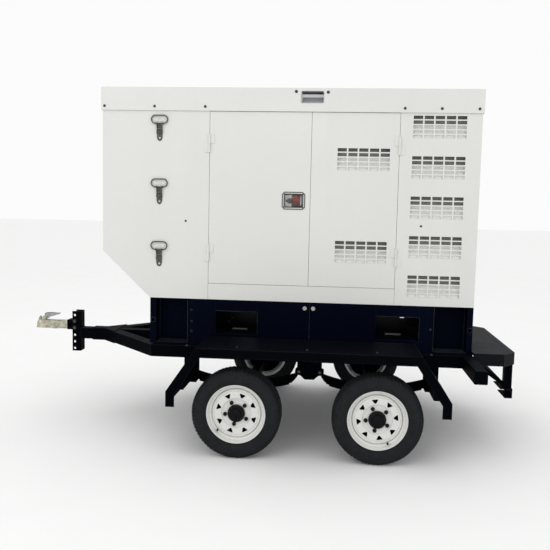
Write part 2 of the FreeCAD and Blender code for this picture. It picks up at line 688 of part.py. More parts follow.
def coupler_jaw():
    """Ball clamp under the housing that the lever tilts clear of the ball."""
    x = BALL_X + BALL_R + 4
    low = COUPLER_Z - 30
    outline = [(x, low + 2), (x + 16, low), (x + 34, low + 14), (x + 34, low + 38), (x + 14, low + 38),
               (x + 12, low + 16), (x, low + 10)]
    jaw = plate_xz(outline, -20, 20)
    return [jaw.cut(rod_y(5 + RUNNING_GAP, JAW_PIVOT_X, JAW_PIVOT_Z, -30, 30))]


# ---------------------------------------------------------------- base frame and tank
TIE_HOLE_R = 13.0
TIE_HOLE_Z = 770.0
CROSS_PLATES = (-610.0, 0.0, 760.0, 1240.0)


def base_frame():
    """Welded base: side webs with fork pockets, open end bays, flanges, end plates and cross walls."""
    t = 6.0
    web_y = BASE_Y - BAY_DEPTH
    front, rear = BASE_FRONT_X, FRAME_REAR_X
    low, top = RAIL_TOP, BASE_TOP
    bay_front = (front + 40, front + 258)
    bay_rear = (rear - 252, rear - 36)
    side = [box(front, rear, web_y, BASE_Y, top - t, top), box(front, rear, web_y, BASE_Y, low, low + t)]
    inner_low, inner_high = low + t, top - t
    for x0, x1 in ((front, bay_front[0]), (bay_front[1], bay_front[1] + 35),
                   (bay_rear[0] - 42, bay_rear[0]), (bay_rear[1], rear)):
        post = box(x0, x1, web_y, BASE_Y, inner_low, inner_high)
        post = post.cut(box(x0 + t, x1 - t, web_y, BASE_Y - t, inner_low, inner_high))
        if x0 == front or x1 == rear:
            post = post.cut(rod_y(TIE_HOLE_R, (x0 + x1) / 2, TIE_HOLE_Z, BASE_Y - t - 1, BASE_Y + 1))
        side.append(post)
    for x0, x1 in (bay_front, bay_rear):
        side.append(box(x0, x1, web_y, web_y + t, inner_low, inner_high))
    side += pocket_wall(bay_front[1] + 35, bay_rear[0] - 42, inner_low, inner_high, t)
    plates = [box(front, front + t, -web_y, web_y, low, top), box(rear - t, rear, -web_y, web_y, low, top)]
    for x in POCKET_X:
        plates += fork_pocket(x, t)
    for x in CROSS_PLATES:
        plates.append(box(x, x + 90, -web_y, web_y, top - 60, top))
    return both_sides(side) + plates


def pocket_wall(x0, x1, z0, z1, t):
    """The outer web between the bays, in pieces that leave the fork pockets open."""
    pieces = []
    edges = [x0]
    for x in POCKET_X:
        edges += [x, x + POCKET_W]
    edges.append(x1)
    for k in range(0, len(edges), 2):
        pieces.append(box(edges[k], edges[k + 1], BASE_Y - t, BASE_Y, z0, z1))
    for x in POCKET_X:
        pieces.append(box(x, x + POCKET_W, BASE_Y - t, BASE_Y, z0, POCKET_Z))
        pieces.append(box(x, x + POCKET_W, BASE_Y - t, BASE_Y, POCKET_Z + POCKET_H, z1))
    return pieces


def fork_pocket(x, t):
    """A rectangular duct across the base; its floor has a lightening hole near each mouth."""
    half = BASE_Y - t
    x1 = x + POCKET_W
    z0, z1 = POCKET_Z, POCKET_Z + POCKET_H
    floor = box(x - t, x1 + t, -half, half, z0 - t, z0)
    hole = box(x + 80, x + 190, 170, 360, z0 - t, z0)
    floor = floor.cut(hole).cut(mirrored(hole))
    roof = box(x - t, x1 + t, -half, half, z1, z1 + t)
    walls = [box(x - t, x, -half, half, z0, z1), box(x1, x1 + t, -half, half, z0, z1)]
    return [floor, roof] + walls


def fuel_tank():
    """Tank between the fork pockets, with a filler neck."""
    x0 = POCKET_X[0] + POCKET_W + 30
    x1 = POCKET_X[1] - 30
    half = BASE_Y - BAY_DEPTH - 20
    tank = box(x0, x1, -half, half, RAIL_TOP + 10, BASE_TOP - 64)
    tank = tank.cut(box(x0 + 3, x1 - 3, -half + 3, half - 3, RAIL_TOP + 13, BASE_TOP - 67))
    neck_at = (x0 + 120, -half + 60, BASE_TOP - 64)
    bore = rod(25, (neck_at[0], neck_at[1], neck_at[2] - 5), Z_AXIS, 110)
    neck = rod(28, neck_at, Z_AXIS, 96).cut(bore)
    cap = rod(38, (neck_at[0], neck_at[1], neck_at[2] + 96), Z_AXIS, 24)
    return [tank.cut(bore), neck, cap]


# ---------------------------------------------------------------- canopy
LIFT_X0 = 282.0
LIFT_W = 150.0
LIFT_Z0 = 2214.0
LIFT_H = 77.0
LIFT_DEPTH = 62.0
LIFT_BAR_R = 11.0


def lift_tray(wall=2.0):
    """The block taken up by a lifting recess behind the roof's skirt, grown by its wall."""
    y1 = CANOPY_Y + ROOF_OVERHANG - SHEET
    return box(LIFT_X0 - wall, LIFT_X0 + LIFT_W + wall, y1 - LIFT_DEPTH - wall, y1, LIFT_Z0 - wall,
               LIFT_Z0 + LIFT_H + wall)


def louvre_holes(x, z, y0, y1):
    """Cutters for one group of rectangular vents; x, z is the group's lower corner."""
    cutters = []
    for i in range(LOUVRE_N):
        for k in range(LOUVRE_N):
            cx = x + i * LOUVRE_PITCH_X
            cz = z + k * LOUVRE_PITCH_Z
            cutters.append(box(cx, cx + LOUVRE_W, y0, y1, cz, cz + LOUVRE_H))
    return Part.makeCompound(cutters)


REAR_LOUVRE_X = 1005.0
REAR_LOUVRE_Z = (977.0, 1233.0, 1488.0, 1745.0, 2001.0)
DOOR_LOUVRE_X = 528.0
DOOR_LOUVRE_Z = (1190.0, 1790.0)


def side_panels():
    """Fixed side sheets on each side: front with the cut-off corner, rear with vents, sill and header."""
    y0, y1 = CANOPY_Y - SHEET, CANOPY_Y
    front = plate_xz([(CANOPY_FRONT_X, CHAMFER_Z), (CANOPY_FRONT_X, WALL_TOP), (DOOR_FRONT_X, WALL_TOP),
                      (DOOR_FRONT_X, BASE_TOP), (BASE_FRONT_X, BASE_TOP)], y0, y1)
    rear = box(DOOR_REAR_X, CANOPY_REAR_X, y0, y1, BASE_TOP, WALL_TOP)
    for z in REAR_LOUVRE_Z:
        rear = rear.cut(louvre_holes(REAR_LOUVRE_X, z, y0 - 1, y1 + 1))
    sill = box(DOOR_FRONT_X, DOOR_REAR_X, y0, y1, BASE_TOP, DOOR_BOTTOM)
    header = box(CANOPY_FRONT_X, CANOPY_REAR_X, y0, y1, WALL_TOP, ROOF_TOP - SHEET).cut(lift_tray())
    jamb_y = CANOPY_Y - SHEET - FLANGE
    flanges = [box(DOOR_FRONT_X - SHEET, DOOR_FRONT_X, jamb_y, y0, BASE_TOP, WALL_TOP),
               box(DOOR_REAR_X, DOOR_REAR_X + SHEET, jamb_y, y0, BASE_TOP, WALL_TOP),
               box(DOOR_FRONT_X, DOOR_REAR_X, jamb_y, y0, DOOR_BOTTOM - SHEET, DOOR_BOTTOM)]
    seat_y = jamb_y - SHEET
    stops = [box(DOOR_FRONT_X - SHEET, DOOR_FRONT_X + 24, seat_y, jamb_y, BASE_TOP, WALL_TOP),
             box(DOOR_REAR_X - 24, DOOR_REAR_X + SHEET, seat_y, jamb_y, BASE_TOP, WALL_TOP),
             box(DOOR_FRONT_X + 24, DOOR_REAR_X - 24, seat_y, jamb_y, DOOR_BOTTOM - SHEET, DOOR_BOTTOM + 20)]
    return both_sides([front, rear, sill, header] + flanges + stops)


def nose_panel():
    """Front wall and the sloped air outlet under it, with a slotted grille."""
    half = CANOPY_Y - SHEET
    wall = box(CANOPY_FRONT_X, CANOPY_FRONT_X + SHEET, -half, half, CHAMFER_Z, ROOF_TOP - SHEET)
    run = BASE_FRONT_X - CANOPY_FRONT_X
    drop = CHAMFER_Z - BASE_TOP
    length = math.hypot(run, drop)
    step = SHEET * length / drop
    slope = plate_xz([(CANOPY_FRONT_X, CHAMFER_Z), (BASE_FRONT_X, BASE_TOP), (BASE_FRONT_X + step, BASE_TOP),
                      (CANOPY_FRONT_X + step, CHAMFER_Z)], -half, half)
    for k in range(9):
        share = 0.14 + 0.09 * k
        cx = CANOPY_FRONT_X + run * share
        cz = CHAMFER_Z - drop * share
        for y0 in (-380.0, 20.0):
            slot = Part.makeBox(24, 360, 60, Vector(cx - 12, y0, cz - 30))
            slot.rotate(Vector(cx, 0, cz), Y_AXIS, -math.degrees(math.atan2(run, drop)) + 90)
            slope = slope.cut(slot)
    return [wall, slope]


def rear_wall():
    """Plain rear wall of the canopy."""
    half = CANOPY_Y - SHEET
    wall = box(CANOPY_REAR_X - SHEET, CANOPY_REAR_X, -half, half, BASE_TOP, ROOF_TOP - SHEET)
    return [wall]


def roof_cover():
    """Roof tray: top sheet and a deep skirt all round, with a lifting recess in each long side."""
    x0, x1 = CANOPY_FRONT_X - ROOF_OVERHANG, CANOPY_REAR_X + ROOF_OVERHANG
    half = CANOPY_Y + ROOF_OVERHANG
    skirt_low = WALL_TOP
    top = box(x0, x1, -half, half, ROOF_TOP - SHEET, ROOF_TOP)
    side = box(x0, x1, half - SHEET, half, skirt_low, ROOF_TOP - SHEET)
    recess = box(LIFT_X0, LIFT_X0 + LIFT_W, half - SHEET, half, LIFT_Z0, LIFT_Z0 + LIFT_H)
    recess = recess.makeFillet(14, edges_along_y(recess))
    side = side.cut(recess)
    ends = [box(x0, x0 + SHEET, -half + SHEET, half - SHEET, skirt_low, ROOF_TOP - SHEET),
            box(x1 - SHEET, x1, -half + SHEET, half - SHEET, skirt_low, ROOF_TOP - SHEET)]
    return [top] + both_sides([side]) + ends


def lifting_bars():
    """A steel tray behind each roof recess, with the lifting bar across it."""
    y1 = CANOPY_Y + ROOF_OVERHANG - SHEET
    hollow = box(LIFT_X0, LIFT_X0 + LIFT_W, y1 - LIFT_DEPTH, y1 + 1, LIFT_Z0, LIFT_Z0 + LIFT_H)
    bar = rod_x(LIFT_BAR_R, y1 - 24, LIFT_Z0 + LIFT_H - 28, LIFT_X0 - 1, LIFT_X0 + LIFT_W + 1)
    return both_sides([fused([lift_tray().cut(hollow), bar])])


def door_hinge_fixed(x, toward):
    """Fixed leaf, lower knuckle and pin of one hinge at each height; toward is the panel's side."""
    parts = []
    for z in HINGE_Z:
        low = z - HINGE_LEN / 2
        knuckle = Part.makeCylinder(HINGE_R, HINGE_LEN / 2 - 0.5, Vector(x, HINGE_Y, low), Z_AXIS)
        pin = Part.makeCylinder(HINGE_PIN_R, HINGE_LEN, Vector(x, HINGE_Y, low), Z_AXIS)
        leaf = box(x, x + toward * 34, CANOPY_Y, CANOPY_Y + 3, low, low + HINGE_LEN / 2 - 0.5)
        parts.append(fused([knuckle, pin, leaf]))
    return parts


def door_hinges():
    return both_sides(door_hinge_fixed(DOOR_FRONT_X, -1) + door_hinge_fixed(DOOR_REAR_X, 1))


def door_pan(x0, x1):
    """A door skin with return flanges, in its opening."""
    y0, y1 = CANOPY_Y - SHEET, CANOPY_Y
    z0, z1 = DOOR_BOTTOM + DOOR_GAP, WALL_TOP - DOOR_GAP
    deep = CANOPY_Y - 26
    skin = box(x0, x1, deep, y1, z0, z1)
    return skin.cut(box(x0 + SHEET, x1 - SHEET, deep, y0, z0 + SHEET, z1 - SHEET))


def moving_leaf(x, toward):
    """The door's leaf and upper knuckle of each hinge."""
    parts = []
    for z in HINGE_Z:
        knuckle = Part.makeCylinder(HINGE_R, HINGE_LEN / 2, Vector(x, HINGE_Y, z), Z_AXIS)
        leaf = box(x, x + toward * 34, CANOPY_Y, CANOPY_Y + 3, z, z + HINGE_LEN / 2)
        parts.append(fused([knuckle, leaf]))
    return parts


def hinge_bore(x):
    cuts = [Part.makeCylinder(HINGE_PIN_R + RUNNING_GAP, HINGE_LEN / 2 + 2, Vector(x, HINGE_Y, z - 1), Z_AXIS)
            for z in HINGE_Z]
    return Part.makeCompound(cuts)


PADDLE_PIVOT_X = LATCH_X + 22
PADDLE_PIVOT_Y = CANOPY_Y - 12
PADDLE_PIN_R = 2.5


def front_door():
    """Plain door with the paddle latch in its free edge."""
    pan = door_pan(DOOR_FRONT_X + DOOR_GAP, DOOR_MID_X - DOOR_GAP / 2)
    x0, x1 = LATCH_X, LATCH_X + LATCH_W
    z0, z1 = LATCH_Z, LATCH_Z + LATCH_H
    bezel = box(x0, x1, CANOPY_Y, CANOPY_Y + 3, z0, z1)
    bezel = bezel.makeFillet(12, edges_along_y(bezel))
    cup = box(x0 + 10, x1 - 10, CANOPY_Y - LATCH_DEPTH, CANOPY_Y, z0 + 10, z1 - 10)
    hollow = box(x0 + 12, x1 - 12, CANOPY_Y - LATCH_DEPTH + 2, CANOPY_Y + 4, z0 + 12, z1 - 12)
    door = fused([pan, bezel, cup] + moving_leaf(DOOR_FRONT_X, 1))
    door = door.cut(hollow).cut(hinge_bore(DOOR_FRONT_X))
    pin = rod(PADDLE_PIN_R, (PADDLE_PIVOT_X, PADDLE_PIVOT_Y, LATCH_Z + 10), Z_AXIS, LATCH_H - 20)
    return [door.fuse(pin)]


def rear_door():
    """Vented door, hinged at its rear edge."""
    pan = door_pan(DOOR_MID_X + DOOR_GAP / 2, DOOR_REAR_X - DOOR_GAP)
    for z in DOOR_LOUVRE_Z:
        pan = pan.cut(louvre_holes(DOOR_LOUVRE_X, z, CANOPY_Y - SHEET - 1, CANOPY_Y + 1))
    door = fused([pan] + moving_leaf(DOOR_REAR_X, -1))
    return [door.cut(hinge_bore(DOOR_REAR_X))]


def latch_paddle():
    """Pull paddle in the latch cup, turning on an upright pin at its outer edge."""
    z0, z1 = LATCH_Z + 18, LATCH_Z + LATCH_H - 18
    barrel = rod(5, (PADDLE_PIVOT_X, PADDLE_PIVOT_Y, z0), Z_AXIS, z1 - z0)
    plate = box(PADDLE_PIVOT_X, PADDLE_PIVOT_X + 58, PADDLE_PIVOT_Y - 1, PADDLE_PIVOT_Y + 4, z0, z1)
    lip = box(PADDLE_PIVOT_X + 50, PADDLE_PIVOT_X + 58, PADDLE_PIVOT_Y + 4, PADDLE_PIVOT_Y + 10, z0, z1)
    bore = rod(PADDLE_PIN_R + RUNNING_GAP, (PADDLE_PIVOT_X, PADDLE_PIVOT_Y, z0), Z_AXIS, z1 - z0)
    return [fused([barrel, plate, lip]).cut(bore)]


def toggle_bases():
    """Fixed catch plates with two ears each, and a padlock hole at the foot."""
    parts = []
    for z in TOGGLE_Z:
        foot = z - 85
        shoulder = z + 34
        outline = [(TOGGLE_X - 10, foot), (TOGGLE_X + 10, foot), (TOGGLE_X + 22, foot + 36),
                   (TOGGLE_X + 22, shoulder), (TOGGLE_X - 22, shoulder), (TOGGLE_X - 22, foot + 36)]
        plate = plate_xz(outline, CANOPY_Y, CANOPY_Y + 4)
        plate = plate.cut(rod_y(8, TOGGLE_X, foot + 20, CANOPY_Y - 1, CANOPY_Y + 5))
        bridge = box(TOGGLE_X - 16, TOGGLE_X + 16, CANOPY_Y + 4, CANOPY_Y + 14, foot + 62, foot + 92)
        body = fused([plate, bridge])
        for sign in (-1, 1):
            ear = box(TOGGLE_X + sign * 10, TOGGLE_X + sign * 16, CANOPY_Y + 4, LOOP_Y + 7, loop_low(z) - 7,
                      loop_low(z) + 7)
            body = body.fuse(ear)
        body = body.cut(rod_x(LOOP_WIRE_R + RUNNING_GAP, LOOP_Y, loop_low(z), TOGGLE_X - 30, TOGGLE_X + 30))
        parts.append(body.removeSplitter())
    return both_sides(parts)


def loop_low(z):
    """Height of a handle's lower bar, which is its pivot."""
    return z + 30


def toggle_handle(z):
    """A wire loop: two straight bars and two half-round ends."""
    r = LOOP_H / 2 - LOOP_WIRE_R
    low = loop_low(z)
    high = low + 2 * r
    reach = LOOP_W / 2 - LOOP_WIRE_R - r
    parts = [rod_x(LOOP_WIRE_R, LOOP_Y, low, TOGGLE_X - reach, TOGGLE_X + reach),
             rod_x(LOOP_WIRE_R, LOOP_Y, high, TOGGLE_X - reach, TOGGLE_X + reach)]
    for sign in (-1, 1):
        x = TOGGLE_X + sign * reach
        arc = Part.Arc(Vector(x, LOOP_Y, low), Vector(x + sign * r, LOOP_Y, low + r), Vector(x, LOOP_Y, high))
        circle = Part.Wire(Part.makeCircle(LOOP_WIRE_R, Vector(x, LOOP_Y, low), X_AXIS))
        parts.append(Part.Wire(arc.toShape()).makePipeShell([circle], True, False))
    return parts


# ---------------------------------------------------------------- power unit
def open_box(x0, x1, y0, y1, z0, z1, wall=3.0):
    """A sheet box with no bottom."""
    inside = box(x0 + wall, x1 - wall, y0 + wall, y1 - wall, z0 - 1, z1 - wall)
    return box(x0, x1, y0, y1, z0, z1).cut(inside)


CRANK_NOSE_R = 22.0


ENGINE_FRONT_X = -160.0
ENGINE_REAR_X = 430.0
BELL_REAR_X = 540.0         # where the flywheel housing meets the alternator
BLOCK_HALF = 170.0
BLOCK_BOTTOM = 1150.0
BLOCK_TOP = 1560.0
HEAD_TOP = 1700.0
CLEANER_R = 95.0
FOOT_TOP = 1160.0
SPINDLE_TIP_R = 14.0


def engine_block():
    """Four-cylinder diesel: block, head, sump, flywheel housing, feet and accessories."""
    x0, x1 = ENGINE_FRONT_X, ENGINE_REAR_X
    wall = 30
    block = box(x0, x1, -BLOCK_HALF, BLOCK_HALF, BLOCK_BOTTOM, BLOCK_TOP)
    block = block.cut(box(x0 + wall, x1 - wall, wall - BLOCK_HALF, BLOCK_HALF - wall, BLOCK_BOTTOM,
                          BLOCK_TOP - 110))
    block = block.cut(rod_x(CRANK_NOSE_R + RUNNING_GAP, 0, CRANK_Z, x0 - 1, x0 + wall + 1))
    sump_x0, sump_x1, sump_half, sump_low = x0 + 20, x1 - 30, 130, 1010
    sump = box(sump_x0, sump_x1, -sump_half, sump_half, sump_low, BLOCK_BOTTOM)
    sump = sump.cut(box(sump_x0 + 6, sump_x1 - 6, 6 - sump_half, sump_half - 6, sump_low + 10, BLOCK_BOTTOM))
    head = box(x0 + 10, x1 - 10, -120, 120, BLOCK_TOP, HEAD_TOP)
    cover = box(x0 + 30, x1 - 30, -90, 90, HEAD_TOP, HEAD_TOP + 60)
    housing = rod_x(250, 0, CRANK_Z, x1, BELL_REAR_X).cut(rod_x(200, 0, CRANK_Z, x1 + 10, BELL_REAR_X))
    foot = box(0, 90, BLOCK_HALF, 330, FOOT_TOP - 50, FOOT_TOP)
    leg = box(10, 80, 290, 330, BASE_TOP, FOOT_TOP - 50)
    spindle = rod_x(SPINDLE_TIP_R, 0, FAN_Z, BELT_X - 6, x0 - 30)
    bearer = box(x0 - 30, x0, -60, 60, FAN_Z - 60, FAN_Z + 60)
    manifold = box(x0 + 60, x1 - 70, -210, -120, BLOCK_TOP + 30, HEAD_TOP - 50)
    cleaner_y, cleaner_z, cleaner_x0, cleaner_x1 = 250, 1720, 60, 420
    cleaner = rod_x(CLEANER_R, cleaner_y, cleaner_z, cleaner_x0, cleaner_x1)
    cleaner = cleaner.cut(rod_x(CLEANER_R - 10, cleaner_y, cleaner_z, cleaner_x0 + 6, cleaner_x1))
    return [block, sump, head, cover, housing, spindle, bearer, manifold, cleaner] + both_sides([foot, leg])


ALTERNATOR_R = 215.0
ALTERNATOR_BORE_R = 150.0
ALTERNATOR_REAR_X = 1080.0
TERMINAL_BOTTOM = 1510.0


def alternator():
    """Barrel, rear bell, terminal box on its plinth, and the feet."""
    x0, x1, x2 = BELL_REAR_X, ALTERNATOR_REAR_X, ALTERNATOR_REAR_X + 50
    barrel = rod_x(ALTERNATOR_R, 0, CRANK_Z, x0, x1)
    barrel = barrel.cut(rod_x(ALTERNATOR_BORE_R, 0, CRANK_Z, x0, x1 - 20))
    bell = rod_x(180, 0, CRANK_Z, x1, x2).cut(rod_x(ALTERNATOR_BORE_R, 0, CRANK_Z, x1, x2 - 10))
    terminal = open_box(700, 980, -190, 190, TERMINAL_BOTTOM, TERMINAL_BOTTOM + 190)
    plinth_x = (740, 940)
    plinth = box(plinth_x[0], plinth_x[1], -60, 60, TERMINAL_BOTTOM - 10, TERMINAL_BOTTOM)
    foot_x, foot_y, foot_low, foot_top = (620, 1010), (180, 300), 1060, 1110
    foot = box(foot_x[0], foot_x[1], foot_y[0], foot_y[1], foot_low, foot_top)
    leg = box(765, 845, foot_y[1] - 60, foot_y[1], BASE_TOP, foot_low)
    notch = box(foot_x[0], foot_x[1], -ALTERNATOR_R - 1, ALTERNATOR_R + 1, foot_low - 10, foot_top + 1)
    barrel = barrel.cut(notch).cut(plinth)
    web = box(foot_x[0] + 20, foot_x[1] - 20, foot_y[0] - 30, foot_y[0], foot_low, foot_top)
    web = web.cut(rod_x(ALTERNATOR_R, 0, CRANK_Z, x0, x1))
    return [barrel, bell, terminal, plinth] + both_sides([fused([foot, web]), leg])


CORE_X = (-600.0, -530.0)
CORE_Z = (1060.0, 1740.0)
TANK_H = 70.0
SHROUD_REAR_X = -400.0


def radiator():
    """Finned core between two tanks, filler cap, stands, and the shroud round the fan."""
    x0, x1 = CORE_X
    z0, z1 = CORE_Z
    core = box(x0, x1, -330, 330, z0, z1)
    tanks = [box(x0 - 10, x1 + 10, -340, 340, low, low + TANK_H) for low in (z0 - TANK_H, z1)]
    cap = rod(28, (x0 + 35, 200, z1 + TANK_H), Z_AXIS, 24)
    half, sheet = 300, 4
    shroud = box(x1, SHROUD_REAR_X, -half, half, FAN_Z - half + 5, FAN_Z + half - 5)
    shroud = shroud.cut(box(x1, SHROUD_REAR_X - sheet, sheet - half, half - sheet, FAN_Z - half + 5 + sheet,
                            FAN_Z + half - 5 - sheet))
    shroud = shroud.cut(rod_x(FAN_R + 12, 0, FAN_Z, SHROUD_REAR_X - 10, SHROUD_REAR_X + 1))
    stands = both_sides([box(x0 + 10, x1 - 10, 280, 330, BASE_TOP, z0 - TANK_H)])
    return [core, cap, shroud] + tanks + stands


FAN_BLADES = 7
FAN_X = -428.0
FAN_HUB_R = 60.0
FAN_PULLEY_R = 58.0
CRANK_PULLEY_R = 78.0
BELT_HALF = 16.0


def cooling_fan():
    """Fan with its hub and belt pulley, on the spindle."""
    centre_hub = rod_x(FAN_HUB_R, 0, FAN_Z, FAN_X - 22, BELT_X - BELT_HALF)
    pulley = rod_x(FAN_PULLEY_R, 0, FAN_Z, BELT_X - BELT_HALF, BELT_X + BELT_HALF)
    body = fused([centre_hub, pulley]).cut(rod_x(SPINDLE_TIP_R + RUNNING_GAP, 0, FAN_Z, BELT_X - 7, -200))
    for k in range(FAN_BLADES):
        blade = Part.makeBox(5, 92, FAN_R - 50, Vector(FAN_X - 2, -46, FAN_Z + 50))
        blade.rotate(Vector(FAN_X, 0, FAN_Z), Z_AXIS, 32)
        blade.rotate(Vector(0, 0, FAN_Z), X_AXIS, 360 / FAN_BLADES * k)
        body = body.fuse(blade)
    return [body.removeSplitter()]


def crank_pulley():
    """Belt pulley with the crankshaft nose behind it."""
    wheel = rod_x(CRANK_PULLEY_R, 0, CRANK_Z, BELT_X - BELT_HALF, BELT_X + BELT_HALF)
    nose = rod_x(CRANK_NOSE_R, 0, CRANK_Z, BELT_X + BELT_HALF, ENGINE_FRONT_X + 26)
    return [fused([wheel, nose])]


DRUM_R = 110.0
DRUM_Z = 1980.0
DRUM_X = (-150.0, 550.0)
PIPE_R = 34.0
PIPE_X = 100.0


def muffler():
    """Silencer drum over the engine with its inlet and the tail pipe into the nose."""
    x0, x1 = DRUM_X
    shell = 4
    drum = rod_x(DRUM_R, 0, DRUM_Z, x0, x1).cut(rod_x(DRUM_R - shell, 0, DRUM_Z, x0 + shell, x1))
    lid = rod_x(DRUM_R, 0, DRUM_Z, x1, x1 + shell)
    inlet_y, riser_y, elbow_low, elbow_top = -165, -90, 1765, 1815
    low = HEAD_TOP - 50
    inlet = rod(PIPE_R, (PIPE_X, inlet_y, low), Z_AXIS, elbow_low - low)
    inlet = inlet.cut(rod(PIPE_R - shell, (PIPE_X, inlet_y, low), Z_AXIS, elbow_low - low))
    elbow = box(PIPE_X - PIPE_R, PIPE_X + PIPE_R, inlet_y - PIPE_R, riser_y + PIPE_R, elbow_low, elbow_top)
    riser = rod(PIPE_R, (PIPE_X, riser_y, elbow_top), Z_AXIS, 84)
    riser = riser.cut(rod_x(DRUM_R, 0, DRUM_Z, x0, x1))
    tail = rod_x(PIPE_R + shell, 0, DRUM_Z, -900, x0).cut(rod_x(PIPE_R, 0, DRUM_Z, -900, x0))
    return [drum, lid, inlet, elbow, riser, tail]


CABINET_X = (1120.0, 1400.0)
CABINET_Y = (-420.0, -160.0)
CABINET_Z = (1560.0, 2060.0)


def control_panel():
    """Control cabinet in the rear of the canopy, facing the rear door, with its display and switches."""
    x0, x1 = CABINET_X
    face, back = CABINET_Y
    low, top = CABINET_Z
    cabinet = open_box(x0, x1, face, back, low, top)
    screen = box(x0 + 70, x1 - 70, face - 6, face, top - 160, top - 50)
    stop = rod_y(20, x0 + 50, top - 260, face - 20, face)
    key = rod_y(14, x1 - 50, top - 260, face - 16, face)
    breaker = box(x0 + 80, x1 - 90, face - 14, face, low + 60, low + 200)
    legs = [box(x, x + 40, face + 3, face + 43, BASE_TOP, low) for x in (x0 + 3, x1 - 43)]
    return [cabinet, screen, stop, key, breaker] + legs


# ---------------------------------------------------------------- build
NODES = {
    "side_rails": side_rails, "cross_members": cross_members, "tongue_tube": tongue_tube,
    "a_frame_legs": a_frame_legs, "coupler_channel": coupler_channel, "chain_loops": chain_loops,
    "outrigger_tubes": outrigger_tubes, "rear_deck": rear_deck, "rear_posts": rear_posts,
    "rear_bumper": rear_bumper, "fenders": fenders, "fender_supports": fender_supports,
    "spring_hangers": spring_hangers, "equalisers": equalisers, "leaf_springs": leaf_springs,
    "axle_beams": axle_beams, "coupler_body": coupler_body, "coupler_bolts": coupler_bolts,
    "coupler_lever": coupler_lever, "coupler_jaw": coupler_jaw, "base_frame": base_frame,
    "fuel_tank": fuel_tank, "roof_cover": roof_cover, "nose_panel": nose_panel, "rear_wall": rear_wall,
    "side_panels": side_panels, "door_hinges": door_hinges, "lifting_bars": lifting_bars,
    "toggle_bases": toggle_bases, "engine_block": engine_block, "alternator": alternator,
    "radiator": radiator, "cooling_fan": cooling_fan, "crank_pulley": crank_pulley, "muffler": muffler,
    "control_panel": control_panel,
}

for name, make in NODES.items():
    save(name, make())

for place, wheel_x, wheel_side in WHEELS:
    save("tyre_" + place, tyre(wheel_x, wheel_side))
    save("rim_" + place, rim(wheel_x, wheel_side))
    save("hub_" + place, hub(wheel_x, wheel_side))

for name, make in (("door_front", front_door), ("door_rear", rear_door), ("latch_paddle", latch_paddle)):
    right = make()
    save(name + "_right", right)
    save(name + "_left", [mirrored(piece) for piece in right])

for level, height in zip(("low", "mid", "top"), TOGGLE_Z):
    handle = toggle_handle(height)
    save("toggle_handle_" + level + "_right", handle)
    save("toggle_handle_" + level + "_left", [mirrored(piece) for piece in handle])
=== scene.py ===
import math

import bmesh
import bpy
from mathutils import Matrix, Vector


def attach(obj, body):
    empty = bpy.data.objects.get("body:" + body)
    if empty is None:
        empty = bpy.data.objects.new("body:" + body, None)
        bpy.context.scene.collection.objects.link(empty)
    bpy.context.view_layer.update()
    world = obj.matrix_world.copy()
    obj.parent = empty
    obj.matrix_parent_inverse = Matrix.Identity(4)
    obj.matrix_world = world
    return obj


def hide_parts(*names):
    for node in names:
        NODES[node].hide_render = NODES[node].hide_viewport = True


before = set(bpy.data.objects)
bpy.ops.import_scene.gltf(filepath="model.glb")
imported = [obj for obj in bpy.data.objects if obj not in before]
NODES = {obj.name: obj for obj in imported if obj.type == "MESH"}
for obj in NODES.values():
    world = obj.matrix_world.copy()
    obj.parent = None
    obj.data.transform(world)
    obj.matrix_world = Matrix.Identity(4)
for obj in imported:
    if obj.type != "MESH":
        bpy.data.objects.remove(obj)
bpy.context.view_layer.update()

# A towable diesel generator: looks, small parts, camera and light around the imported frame.
# Metres, in the row frame: -X towards the coupler, -Y the left side, +Z up.

TYRE_R = 0.277
WHEEL_Y = 0.877
WHEELS = {"front_left": (-0.046, -1), "rear_left": (0.814, -1), "front_right": (-0.046, 1),
          "rear_right": (0.814, 1)}
SIDES = {"left": -1, "right": 1}


